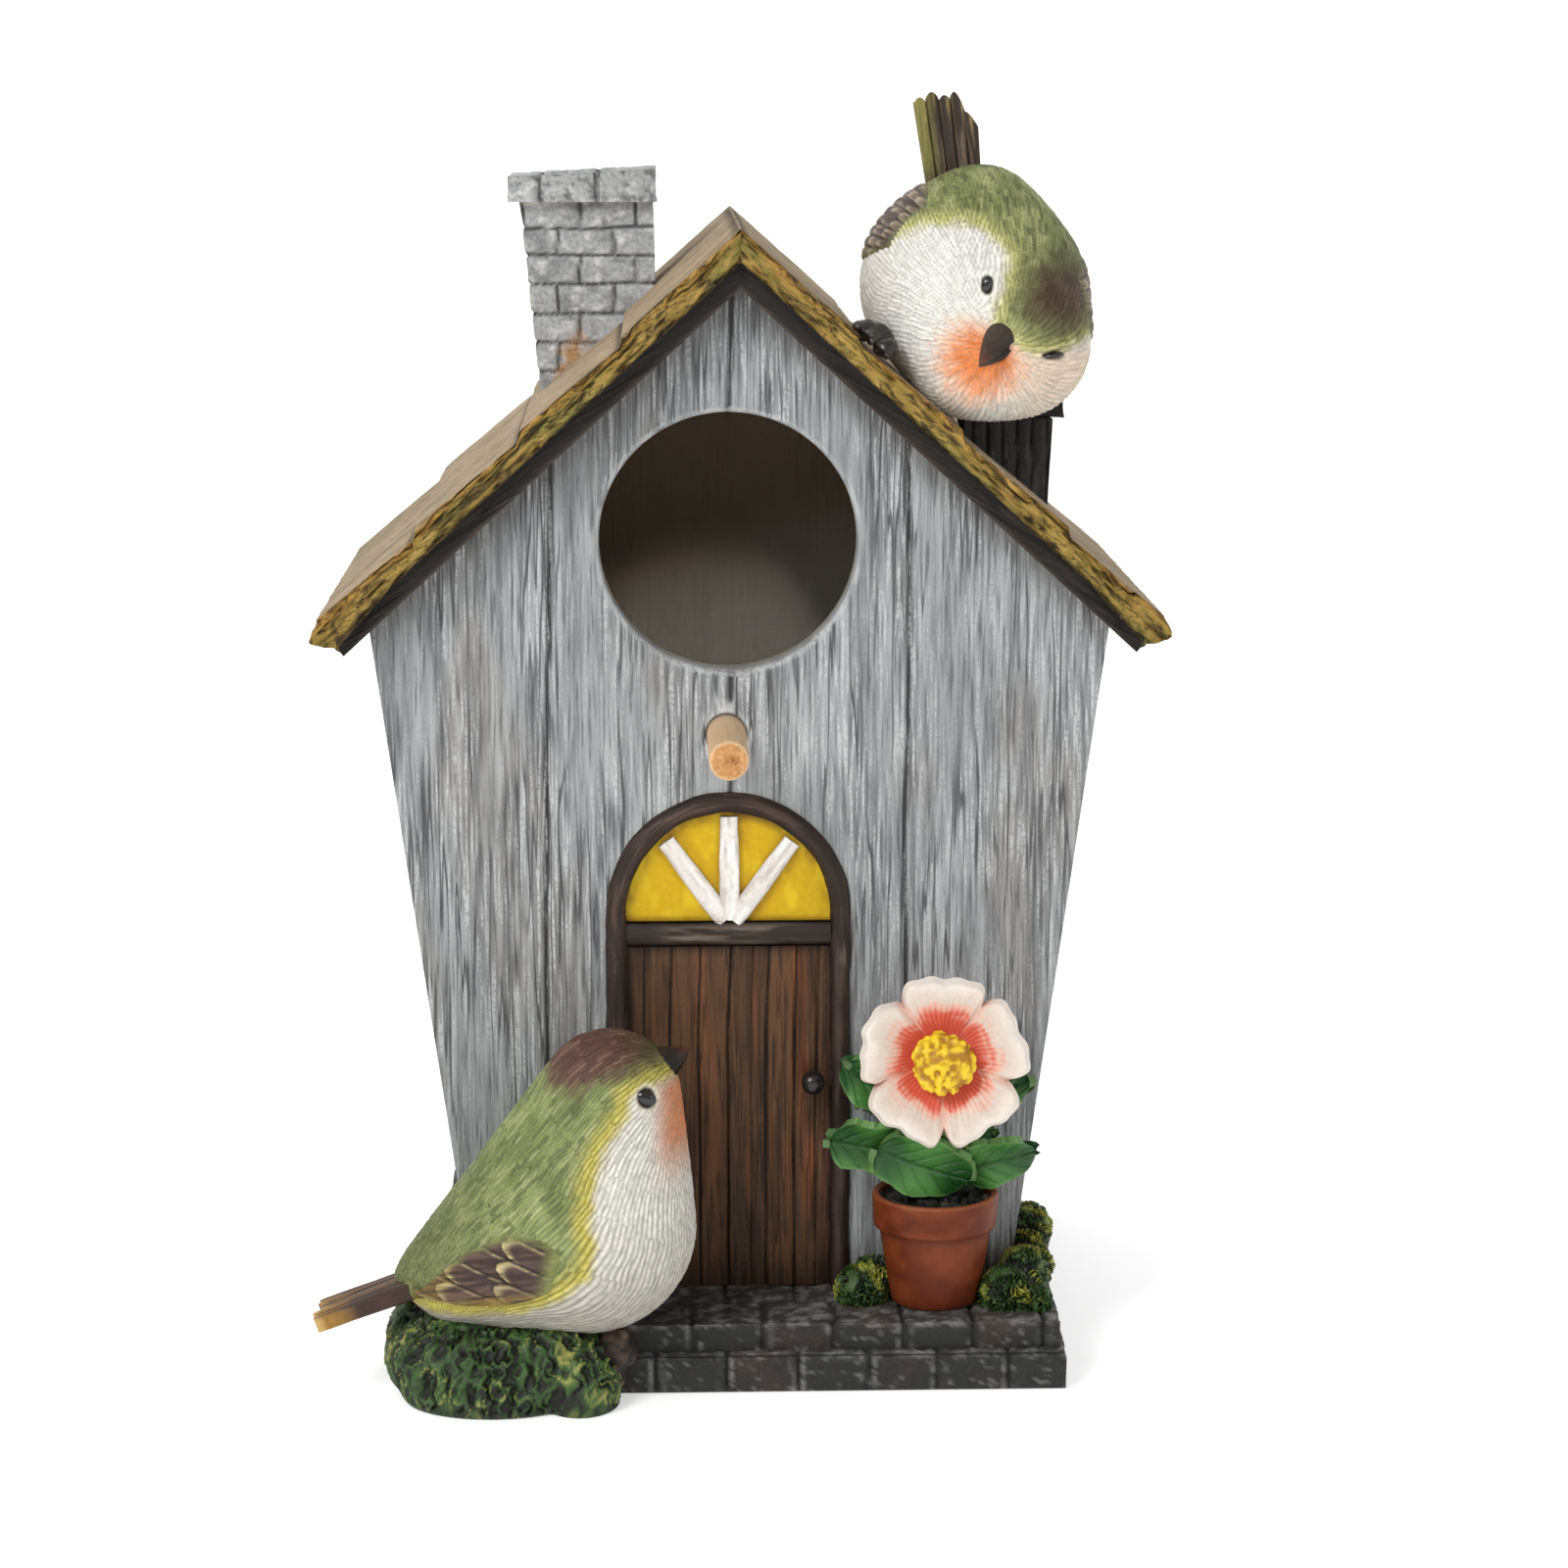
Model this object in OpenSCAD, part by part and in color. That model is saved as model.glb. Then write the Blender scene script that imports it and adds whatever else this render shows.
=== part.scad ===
/* [Plinth] */
// Width of the plinth from side to side
plinth_w = 130; // [126:1:136]
// Depth of the lower paver course from front to back
plinth_d = 125; // [120:1:130]
// Height of the lower paver course
lower_course_h = 7.8; // [7:0.1:8.5]
// Height of the plinth's top above the ground
plinth_h = 13.4; // [12.5:0.1:14]
// How far the upper course steps back at the front
course_step = 2.5; // [1.5:0.5:3.5]

/* [House walls] */
// Thickness of the wall castings
wall_t = 8; // [6:0.5:9]
// Half width of the house where it stands on the plinth
wall_foot = 55.5; // [54:0.5:57]
// How far the side walls lean outwards, in degrees
wall_lean = 7.8; // [7:0.1:8.5]
// Front face of the front wall, measured forward of the origin
wall_front = 36; // [35:0.5:37]
// Rear face of the rear wall, measured behind the origin
wall_rear = 59; // [57:0.5:60]

/* [Roof] */
// Slope of the roof in degrees
roof_slope = 42.5; // [41.5:0.25:43.5]
// Height of the ridge
ridge_z = 233; // [230:0.5:235]
// Vertical thickness of the mossy roof slab
slab_v = 7; // [6:0.5:8]
// Vertical thickness of the dark boarding under the slab
under_v = 6; // [5:0.5:7]
// How far the slab's eaves reach from the middle
eave_x = 86; // [84:0.5:87]
// Front edge of the roof slab
roof_front = 49; // [47:0.5:51]
// Rear edge of the roof slab
roof_rear = 69; // [66:0.5:72]

/* [Entrance and perch] */
// Radius of the round entrance
hole_r = 26; // [22:0.5:28]
// Height of the middle of the entrance
hole_z = 169; // [165:0.5:172]
// Diameter of the dowel perch
perch_d = 8; // [6:0.5:10]
// Height of the perch
perch_z = 130; // [127:0.5:132]
// How far the perch stands out from the wall
perch_out = 30; // [22:1:34]
// Diameter of the spigot turned on its end for the wall's hole
spigot_d = 7; // [4:0.5:7]

/* [Door] */
// Half width of the door frame
frame_r = 25; // [24:0.25:26]
// Width of the frame moulding
frame_w = 4.2; // [3:0.1:5]
// Height at which the arch begins
arch_z = 93; // [90:0.5:96]
// Underside of the lintel rail
lintel_z = 86.1; // [84:0.1:88]
// Height of the door knob
knob_z = 57.8; // [50:0.1:64]

/* [Clean-out cover] */
// Radius of the clean-out hole in the rear wall
clean_r = 20; // [16:0.5:22]
// Height of the middle of the clean-out hole
clean_z = 52; // [50:0.5:56]
// Thickness of the swivel cover
cover_t = 2; // [1.5:0.25:2.5]
// Radius of the pivot screw's shank
pivot_r = 2; // [1.5:0.25:2.5]

/* [Hanger] */
// Height of the keyhole's entry in the hanger plate
keyhole_z = 172; // [165:1:176]
// Radius of the keyhole's entry
keyhole_r = 4.5; // [4:0.25:5]
// Thickness of the hanger plate
hanger_t = 1.5; // [1:0.25:2]

/* [Flower pot] */
// Radius of the pot's rim
pot_r = 13; // [12:0.5:14]
// Height of the pot's rim above the ground
pot_z = 36.5; // [34:0.5:38]
// Radius of the flower's ring of petals
flower_r = 17; // [14:0.5:18]

/* [Birds] */
// Radius of the low bird's breast
low_breast_r = 22; // [20:0.5:22]
// Radius of the roof bird's body
roof_breast_r = 22.5; // [21:0.5:23]

/* [Hidden] */

// Round shapes that meet other solids are drawn with this many sides
$fn = 64;
// Hulled shapes use coarser spheres
soft_fn = 28;
// Reach that is sure to pass right through what it cuts
far = 400;

slope_k = tan(roof_slope);
lean_k = tan(wall_lean);
// Height of the underside of the boarding at the middle of the house
under_z = ridge_z - slab_v - under_v;
// Outer corner of the front wall under the eaves
corner_z = (under_z - slope_k * (wall_foot - lean_k * plinth_h)) / (1 + slope_k * lean_k);
corner_x = wall_foot + lean_k * (corner_z - plinth_h);
door_x = -2.6;
hole_x = -2.4;
perch_x = -2.9;
door_recess = 2;
frame_in = frame_r - frame_w;
door_back = -wall_front + door_recess;

// Height of the roof's upper face at a distance from the middle
function roof_z(x) = ridge_z - slope_k * abs(x);
// Height of the boarding's underside at a distance from the middle
function under_face_z(x) = under_z - slope_k * abs(x);

// A flat outline in X and Z, pushed from y0 back to y1
module upright(y0, y1) {
    translate([0, y1, 0]) rotate([90, 0, 0]) linear_extrude(y1 - y0) children();
}

module ball(p, r, fn = soft_fn) {
    translate(p) sphere(r, $fn = fn);
}

// A round bar along Y from y0 back to y1
module bar_y(x, y0, y1, z, r) {
    translate([x, y1, z]) rotate([90, 0, 0]) cylinder(h = y1 - y0, r = r);
}

// ---- Plinth: two courses of cast pavers under the whole house
module plinth() {
    color("#3a3431") {
        translate([-plinth_w / 2, -plinth_d / 2, 0])
            cube([plinth_w, plinth_d, lower_course_h]);
        translate([-plinth_w / 2 + 1, -plinth_d / 2 + course_step, lower_course_h])
            cube([plinth_w - 2, plinth_d - course_step, plinth_h - lower_course_h]);
    }
}

// ---- Walls: four castings that lean outwards towards the eaves
module gable_outline() {
    polygon([[-wall_foot, plinth_h], [wall_foot, plinth_h], [corner_x, corner_z],
        [0, under_z], [-corner_x, corner_z]]);
}

module arch_outline(r) {
    translate([door_x - r, plinth_h]) square([2 * r, arch_z - plinth_h]);
    translate([door_x, arch_z]) circle(r);
}

module front_wall() {
    color("#8d9296") difference() {
        upright(-wall_front, -wall_front + wall_t) gable_outline();
        bar_y(hole_x, -far, far, hole_z, hole_r);
        bar_y(perch_x, -far, far, perch_z, spigot_d / 2);
        upright(-wall_front - 1, door_back)
            intersection() {
                arch_outline(frame_r);
                translate([-far / 2, plinth_h]) square([far, far]);
            }
    }
}

clean_pivot_z = clean_z + clean_r + 10;
lock_z = clean_z - clean_r - 6;
screw_grip = 5;
hanger_w = 20;
hanger_h = 41;
hanger_low = keyhole_z - 13.5;
hanger_screw_r = 1.5;
hanger_screw_z = [hanger_low + 4.5, hanger_low + hanger_h - 4.5];

module rear_wall() {
    color("#8d9296") difference() {
        upright(wall_rear - wall_t, wall_rear) gable_outline();
        bar_y(0, -far, far, clean_z, clean_r);
        bar_y(0, wall_rear - screw_grip, far, clean_pivot_z, pivot_r);
        bar_y(0, wall_rear - screw_grip, far, lock_z, pivot_r);
        for (z = hanger_screw_z) bar_y(0, wall_rear - screw_grip, far, z, hanger_screw_r);
        keyhole_pocket();
    }
}

// Room behind the keyhole for the head of the nail that the house hangs on
module keyhole_pocket() {
    bar_y(0, wall_rear - 5, far, keyhole_z, 6);
    bar_y(0, wall_rear - 5, far, keyhole_z + 10, 6);
    translate([-6, wall_rear - 5, keyhole_z]) cube([12, far, 10]);
}

module side_wall() {
    upright(-wall_front + wall_t, wall_rear - wall_t)
        polygon([[wall_foot, plinth_h], [corner_x, corner_z],
            [corner_x - wall_t, under_face_z(corner_x - wall_t)],
            [wall_foot - wall_t, plinth_h]]);
}
module left_wall() { color("#868b8f") mirror([1, 0, 0]) side_wall(); }
module right_wall() { color("#868b8f") side_wall(); }

// ---- Roof: dark boarding that carries a thick mossy slab on each side
boarding_x = 78.8;
boarding_front = roof_front - 3.5;
boarding_rear = roof_rear - 3;

module boarding() {
    turn = under_v * cos(roof_slope) * sin(roof_slope);
    upright(-boarding_front, boarding_rear)
        polygon([[0, under_z], [boarding_x, under_face_z(boarding_x)],
            [boarding_x + turn, under_face_z(boarding_x + turn) + under_v],
            [0, under_z + under_v]]);
}
module roof_boarding_left() { color("#211d1c") mirror([1, 0, 0]) boarding(); }
module roof_boarding_right() { color("#211d1c") boarding(); }

// The slab ends in a blunt nose that hangs a little below the boarding
module slab() {
    nose_x = eave_x - 3.9;
    upright(-roof_front, roof_rear)
        polygon([[0, ridge_z - slab_v], [nose_x, roof_z(nose_x) - slab_v],
            [nose_x + 0.9, roof_z(nose_x) - slab_v - 1.8], [eave_x, roof_z(eave_x) - 1.7],
            [eave_x - 1.1, roof_z(eave_x - 1.1)], [0, ridge_z]]);
}
module roof_slab_left() { color("#9a7f3f") mirror([1, 0, 0]) slab(); }
module roof_slab_right() { color("#9a7f3f") slab(); }

// ---- Chimney: a brick stack that leans a little, with a cap of three rough blocks
stack_front = 22;
stack_rear = 46;
stack_top = 234.4;
module chimney_stack() {
    color("#a5a7a9") upright(stack_front, stack_rear)
        polygon([[-42.1, roof_z(42.1)], [-16.2, roof_z(16.2)],
            [-16.9, stack_top], [-45.7, stack_top]]);
}
module chimney_cap() {
    color("#b4b5b5") difference() {
        upright(stack_front - 2.5, stack_rear + 2.5)
            polygon([[-48, stack_top], [-16.4, stack_top], [-16, stack_top + 7.2],
                [-48.2, stack_top + 5.6]]);
        translate([-38, stack_front + 5, stack_top + 2.5]) cube([12, 13, far]);
    }
}

// ---- Stub chimney: a short dark post and cap that the roof bird sits on
stub_front = -20;
stub_rear = 2;
stub_top = 192;
module stub_chimney() {
    color("#2b2826") upright(stub_front + 2, stub_rear - 2)
        polygon([[46, roof_z(46)], [63.5, roof_z(63.5)], [64.5, stub_top], [46, stub_top]]);
}
module stub_cap() {
    color("#2b2826") difference() {
        translate([44, stub_front, stub_top]) cube([22.6, stub_rear - stub_front, 5.5]);
        roof_bird_form();
        translate([0, -far / 2, 0]) upright_below_roof();
    }
}
// Everything under the right slope's upper face
module upright_below_roof() {
    upright(0, far) polygon([[0, 0], [far, 0], [far, roof_z(far)], [0, ridge_z]]);
}

// ---- Perch: a wooden dowel, its shouldered spigot glued into the front wall
module perch() {
    bevel = 0.5;
    color("#c9a06a") {
        bar_y(perch_x, -wall_front - perch_out + bevel, -wall_front, perch_z, perch_d / 2);
        bar_y(perch_x, -wall_front, -wall_front + wall_t, perch_z, spigot_d / 2);
        translate([perch_x, -wall_front - perch_out + bevel, perch_z]) rotate([90, 0, 0])
            cylinder(h = bevel, r1 = perch_d / 2, r2 = perch_d / 2 - bevel);
    }
}

// ---- Door: an arched frame with a plank door, a rail and a fanlight, let into the wall
module above(z) {
    intersection() {
        children();
        translate([-far / 2, z]) square([far, far]);
    }
}
module below(z) {
    intersection() {
        children();
        translate([-far / 2, z - far]) square([far, far]);
    }
}
lintel_top = 91.2;
module door_frame() {
    color("#33261f") upright(door_back - 4.2, door_back) difference() {
        arch_outline(frame_r);
        translate([0, -1]) arch_outline(frame_in);
        arch_outline(frame_in);
    }
}
module door_panel() {
    color("#4d3326") upright(door_back - 1.6, door_back)
        below(lintel_z) arch_outline(frame_in);
}
module door_lintel() {
    color("#33261f") upright(door_back - 3, door_back)
        below(lintel_top) above(lintel_z) arch_outline(frame_in);
}
pane_t = 1;
module fanlight_pane() {
    color("#e3bd17") upright(door_back - pane_t, door_back)
        above(lintel_top) arch_outline(frame_in);
}
// Three bars that meet at the middle of the rail
module glazing_bars() {
    bar_w = 4.4;
    color("#e6e2da") upright(door_back - pane_t - 1.6, door_back - pane_t)
        above(lintel_top) intersection() {
            arch_outline(frame_in);
            for (turn = [-36, 0, 36])
                translate([door_x + 0.2, lintel_top - 1]) rotate(-turn)
                    translate([-bar_w / 2, turn == 0 ? 0 : 3]) square([bar_w, 30]);
        }
}
module door_knob() {
    knob_x = 14.6;
    color("#1d1a19") {
        bar_y(knob_x, door_back - 4, door_back - 1.6, knob_z, 1.3);
        ball([knob_x, door_back - 5, knob_z], 2.4, 48);
    }
}

// ---- Low bird: stands side on in the front corner, facing +X
low_y = -60.2;
low_breast = [-31.5, low_y, 35];
low_head = [-26.6, low_y, 60.5];
low_head_r = 14.5;
low_rump = [-56, low_y, 26.2];
low_rump_r = 12;
low_eye_z = 63.4;
eye_r = 2;
// Room for the glue round each of the roof bird's eyes
eye_gap = 0.06;
module low_bird_form(grow = 0) {
    hull() {
        ball(low_breast, low_breast_r + grow);
        ball(low_head, low_head_r + grow);
        ball(low_rump, low_rump_r + grow);
    }
}
module low_bird_beak_form() {
    hull() {
        ball([-16.5, low_y, 67.6], 2.6);
        ball([-11.8, low_y, 69.9], 0.5);
    }
}
module low_bird_eye_forms() {
    for (side = [-1, 1]) ball([-20.2, low_y + side * 11.4, low_eye_z], eye_r);
}
module low_bird_tail_form() {
    hull() {
        for (side = [-1, 1]) {
            ball([-64, low_y + side * 4, 24.5], 2);
            ball([-85.5, low_y + side * 6.5, 15.5], 1.2);
        }
    }
}
module low_bird_body() {
    color("#c9c8bd") difference() {
        low_bird_form();
        low_bird_beak_form();
        low_bird_tail_form();
        plinth();
    }
}
module low_bird_beak() { color("#3a2a20") low_bird_beak_form(); }
// The low bird's eyes are flat-backed beads that sit on the head
module low_bird_eyes() {
    color("#0d0c0c") difference() {
        low_bird_eye_forms();
        low_bird_form();
    }
}
module low_bird_tail() { color("#6b4a2b") low_bird_tail_form(); }

// A leaf-shaped wing outline that lies along the flank, in X and Z
module wing_outline() {
    intersection_for (side = [-1, 1])
        translate([0, side * 12]) circle(r = 20, $fn = 48);
}
module low_bird_wing(side) {
    color("#5a4331") difference() {
        intersection() {
            low_bird_form(1.5);
            upright(side < 0 ? -far : low_y + 4, side < 0 ? low_y - 4 : far)
                translate([-50, 28]) rotate(12) wing_outline();
        }
        low_bird_form();
        low_bird_tail_form();
    }
}
module low_bird_wing_near() { low_bird_wing(-1); }
module low_bird_wing_far() { low_bird_wing(1); }

// ---- Roof bird: sits on the stub chimney and looks down over the right eaves
roof_breast = [46.4, -27.5, 219.6];
roof_head = [53.6, -38, 210.6];
roof_head_r = 16;
roof_crown = [48.5, -26, 231.5];
roof_crown_r = 13;
module roof_bird_form(grow = 0) {
    hull() {
        ball(roof_breast, roof_breast_r + grow);
        ball(roof_head, roof_head_r + grow);
        ball(roof_crown, roof_crown_r + grow);
    }
}
module roof_bird_beak_form() {
    hull() {
        ball([50.5, -52, 209.3], 3);
        ball([46.5, -57.5, 208.4], 0.8);
    }
}
module roof_bird_eye_forms(gap = 0) {
    ball([47.6, -51.2, 220.6], eye_r + gap);
    ball([57.5, -52.4, 206.6], eye_r + gap);
}
module roof_bird_tail_form() {
    hull() {
        for (side = [-1, 1]) {
            ball([43.4 + side * 4.4, -20, 238], 1.5);
            ball([41.2 + side * 4.6, -17.5, 256.8], 1.2);
        }
    }
}
module roof_bird_body() {
    color("#d3cfc5") difference() {
        roof_bird_form();
        roof_bird_beak_form();
        roof_bird_eye_forms(eye_gap);
        roof_bird_tail_form();
        translate([0, -far / 2, 0]) upright_below_roof();
    }
}
module roof_bird_beak() { color("#3a2a20") roof_bird_beak_form(); }
module roof_bird_eyes() { color("#0d0c0c") roof_bird_eye_forms(); }
module roof_bird_tail() { color("#6b4a2b") roof_bird_tail_form(); }
module roof_bird_wing(turn) {
    color("#5a4331") difference() {
        intersection() {
            roof_bird_form(1.5);
            translate(roof_breast) rotate([0, 0, turn]) rotate([90, 0, 90])
                linear_extrude(far) translate([6, 4]) rotate(52) wing_outline();
        }
        roof_bird_form();
        roof_bird_tail_form();
    }
}
module roof_bird_wing_left() { roof_bird_wing(180 - 38); }
module roof_bird_wing_right() { roof_bird_wing(-12); }
// One dark foot grips the roof beside the breast
module roof_bird_foot() {
    color("#1f1c1b") difference() {
        hull() {
            ball([24.5, -42, 212], 3.4);
            ball([29, -43, 207.5], 3);
        }
        roof_bird_form();
        translate([0, -far / 2, 0]) upright_below_roof();
    }
}

// ---- Planting: a grass mound with a rock, and moss along the plinth
module mound_form() {
    hull() {
        for (p = [[-63, -66, 7], [-45, -70, 6], [-30, -69, 5]])
            ball([p[0], p[1], 9], p[2] + 3);
        ball([-66, -45, 9], 8);
        ball([-63, -62, 12], 9);
        translate([-70, -72, 0]) cube([44, 30, 2]);
    }
}
module grass_mound() {
    color("#2d3a17") difference() {
        mound_form();
        plinth();
        low_bird_form();
        low_bird_tail_form();
        translate([-far / 2, -far / 2, -far]) cube([far, far, far]);
        mound_rock_form();
    }
}
module mound_rock_form() {
    hull() {
        ball([-25.5, -67, 11], 5);
        ball([-28.5, -66, 6], 5.5);
    }
}
module mound_rock() {
    color("#35302c") difference() {
        mound_rock_form();
        plinth();
        low_bird_form();
    }
}
module house_front_cut() {
    translate([-far / 2, -wall_front, 0]) cube([far, far, far]);
}
module moss_left() {
    color("#4a5a1e") difference() {
        hull() {
            ball([24.5, -45, 15], 6);
            ball([27, -42, 17.5], 5);
        }
        plinth();
        house_front_cut();
        pot_form();
    }
}
module moss_right() {
    color("#4a5a1e") difference() {
        union() {
            hull() {
                ball([54.5, -48, 15], 7);
                ball([57.5, -43, 18], 6);
                ball([59, -50, 14], 5);
            }
            hull() {
                ball([60, -38, 18], 5.5);
                ball([61, -16, 19], 5);
                ball([60.5, -30, 24], 5.5);
            }
        }
        plinth();
        upright(-wall_front, wall_rear) gable_outline();
        pot_form();
    }
}

// ---- Flower pot: a hollow pot set against the wall, with soil, leaves and one bloom
pot_x = 39.4;
pot_y = -45;
pot_base_r = 8.9;
rim_h = 7;
pot_wall = 1.6;
pot_floor = 3;
soil_z = pot_z - 1.5;
module pot_form() {
    translate([pot_x, pot_y, plinth_h]) rotate_extrude()
        polygon([[0, 0], [pot_base_r, 0], [pot_r - 1.4, pot_z - plinth_h - rim_h],
            [pot_r - 0.4, pot_z - plinth_h - rim_h], [pot_r, pot_z - plinth_h],
            [0, pot_z - plinth_h]]);
}
module pot_hollow() {
    translate([pot_x, pot_y, plinth_h + pot_floor])
        cylinder(h = pot_z - plinth_h - pot_floor, r1 = pot_base_r - pot_wall,
            r2 = pot_r - 2);
}
module flower_pot() {
    color("#a3502c") difference() {
        pot_form();
        pot_hollow();
        translate([pot_x, pot_y, pot_z - 1]) cylinder(h = 5, r = pot_r - 2.1);
        house_front_cut();
    }
}
module pot_soil() {
    color("#15110f") difference() {
        intersection() {
            pot_hollow();
            translate([0, -far / 2, 0]) cube([far, far, soil_z]);
        }
        house_front_cut();
        stem_form();
    }
}
flower_at = [39.9, -57, 67.2];
bloom_tilt = 12;
module stem_form() {
    hull() {
        ball([pot_x, pot_y, soil_z - 3], 1.5);
        ball([flower_at[0], flower_at[1] + 10, 58], 1.5);
    }
    hull() {
        ball([flower_at[0], flower_at[1] + 10, 58], 1.5);
        ball([flower_at[0], flower_at[1] + 4, flower_at[2] - 1], 1.5);
    }
}
// Turns a shape drawn flat in X and Y to face forward and a little up at the bloom
module at_bloom() {
    translate(flower_at) rotate([90 - bloom_tilt, 0, 0]) children();
}
module petals_form() {
    petal_r = flower_r * 0.5;
    at_bloom() linear_extrude(2) for (i = [0 : 4])
        rotate(90 + 36 + i * 72) translate([flower_r - petal_r, 0]) circle(petal_r);
}
module centre_form() {
    at_bloom() translate([0, 0, -1]) {
        cylinder(h = 3.5, r = 6.4);
        intersection() {
            translate([0, 0, 0.5]) sphere(6.4);
            cylinder(h = 6.2, r = 6.4);
        }
    }
}
module flower_stem() {
    color("#1f5a2a") difference() {
        stem_form();
        petals_form();
        centre_form();
    }
}
module flower_petals() {
    color("#f1dcd2") difference() {
        petals_form();
        centre_form();
    }
}
module flower_centre() { color("#e2b21c") centre_form(); }

// Each leaf is [x, y, z of its middle, half length, half width, turn in the face, lean]
LEAVES = [[26.5, -47.5, 47.5, 8.5, 4.6, 18, 30], [37, -53, 43.5, 9.5, 5, -12, 40],
    [50, -49.5, 45, 8.5, 5, 12, 30], [25.5, -42.5, 59.5, 6.5, 4.2, -38, 12],
    [54, -42.5, 57, 6.5, 4, 38, 12]];
module leaf(l) {
    bow = (l[3] * l[3] + l[4] * l[4]) / (2 * l[4]);
    translate([l[0], l[1], l[2]]) rotate([90 - l[6], 0, 0]) rotate(l[5])
        linear_extrude(1.6, center = true) intersection_for (side = [-1, 1])
            translate([0, side * (bow - l[4])]) circle(bow);
}
module flower_leaves() {
    color("#1d6a2c") difference() {
        for (l = LEAVES) leaf(l);
        stem_form();
        petals_form();
        pot_form();
    }
}

// ---- Clean-out cover: swings sideways on its upper screw, over a hole in the rear wall
cover_gap = 0.3;
cover_y = wall_rear + cover_gap;
cover_clear = 0.06;
head_gap = 0.3;
head_t = 1.6;
head_r = 4;
module cover_outline() {
    tab_r = 6;
    difference() {
        hull() {
            translate([0, clean_z]) circle(clean_r + 4);
            translate([0, clean_pivot_z]) circle(tab_r);
            translate([0, lock_z]) circle(tab_r);
        }
        lock_channel();
    }
}
// An open channel round the pivot, which lets the lock screw's shank in from the side
module lock_channel() {
    swing_r = clean_pivot_z - lock_z;
    half_w = pivot_r + cover_gap;
    translate([0, lock_z]) circle(half_w);
    translate([0, clean_pivot_z]) intersection() {
        difference() {
            circle(swing_r + half_w, $fn = 128);
            circle(swing_r - half_w, $fn = 128);
        }
        polygon([[0, 0], [0, -far], [far * tan(20), -far]]);
    }
}
module cleanout_cover() {
    color("#6d7276") difference() {
        upright(cover_y, cover_y + cover_t) cover_outline();
        bar_y(0, -far, far, clean_pivot_z, pivot_r + cover_clear);
    }
}
// A round-head screw that stands out of the rear wall
module wall_screw(z, shank_r, stand, r) {
    bar_y(0, wall_rear - screw_grip, wall_rear + stand, z, shank_r);
    difference() {
        bar_y(0, wall_rear + stand, wall_rear + stand + head_t, z, r);
        for (turn = [0, 90])
            translate([0, wall_rear + stand + head_t, z]) rotate([0, turn, 0])
                cube([3.6, 1.6, 0.8], center = true);
    }
}
module cover_pivot_screw() {
    color("#b9bcbe") wall_screw(clean_pivot_z, pivot_r, cover_gap + cover_t + head_gap, head_r);
}
module cover_lock_screw() {
    color("#b9bcbe") wall_screw(lock_z, pivot_r, cover_gap + cover_t + head_gap, head_r);
}

// ---- Hanger: a keyhole plate with two screws, high on the rear wall
module hanger_plate() {
    slot_r = 2.3;
    color("#b9bcbe") difference() {
        upright(wall_rear, wall_rear + hanger_t) difference() {
            translate([-hanger_w / 2, hanger_low]) square([hanger_w, hanger_h]);
            translate([-slot_r, keyhole_z]) square([2 * slot_r, 10]);
            translate([0, keyhole_z + 10]) circle(slot_r);
        }
        bar_y(0, -far, far, keyhole_z, keyhole_r);
        for (z = hanger_screw_z) bar_y(0, -far, far, z, hanger_screw_r);
    }
}
module hanger_screws() {
    color("#b9bcbe") for (z = hanger_screw_z) wall_screw(z, hanger_screw_r, hanger_t, 3);
}

plinth();
front_wall();
rear_wall();
left_wall();
right_wall();
roof_boarding_left();
roof_boarding_right();
roof_slab_left();
roof_slab_right();
chimney_stack();
chimney_cap();
stub_chimney();
stub_cap();
perch();
door_frame();
door_panel();
door_lintel();
fanlight_pane();
glazing_bars();
door_knob();
low_bird_body();
low_bird_beak();
low_bird_eyes();
low_bird_wing_near();
low_bird_wing_far();
low_bird_tail();
roof_bird_body();
roof_bird_beak();
roof_bird_eyes();
roof_bird_wing_left();
roof_bird_wing_right();
roof_bird_tail();
roof_bird_foot();
grass_mound();
mound_rock();
moss_left();
moss_right();
flower_pot();
pot_soil();
flower_stem();
flower_leaves();
flower_petals();
flower_centre();
cleanout_cover();
cover_pivot_screw();
cover_lock_screw();
hanger_plate();
hanger_screws();
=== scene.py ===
import math

import bpy
import numpy as np
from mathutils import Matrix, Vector
from mathutils.bvhtree import BVHTree


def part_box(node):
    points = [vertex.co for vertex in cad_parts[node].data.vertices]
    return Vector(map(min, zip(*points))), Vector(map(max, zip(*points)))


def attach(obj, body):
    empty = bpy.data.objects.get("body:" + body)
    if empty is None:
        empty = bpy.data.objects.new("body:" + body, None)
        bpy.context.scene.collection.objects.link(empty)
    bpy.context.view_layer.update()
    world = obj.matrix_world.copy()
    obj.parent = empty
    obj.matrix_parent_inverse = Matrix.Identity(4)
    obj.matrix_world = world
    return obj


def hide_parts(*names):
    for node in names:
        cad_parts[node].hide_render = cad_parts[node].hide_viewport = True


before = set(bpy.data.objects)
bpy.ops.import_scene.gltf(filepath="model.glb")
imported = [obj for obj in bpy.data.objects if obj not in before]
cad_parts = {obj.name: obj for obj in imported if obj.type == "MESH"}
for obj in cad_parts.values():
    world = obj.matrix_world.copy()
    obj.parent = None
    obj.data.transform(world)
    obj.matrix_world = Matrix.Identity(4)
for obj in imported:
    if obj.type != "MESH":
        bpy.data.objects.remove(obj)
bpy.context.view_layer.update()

# ---- Studio: a sheet of white paper that lies on the table and curves up behind, a soft light
# high on the left, a weaker one on the right, a faint narrow one into the entrance, and a camera
# that looks slightly down at the front.
MM = 0.001
CAMERA_AT = (-16.4 * MM, -786 * MM, 264 * MM)
CAMERA_TILT = math.radians(90 - 10.885)
CAMERA_TURN = math.radians(-1.921)
CAMERA_LENS = 86.535
PAPER_SIZE = 16
PAPER_STRIPS = 192
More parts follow.
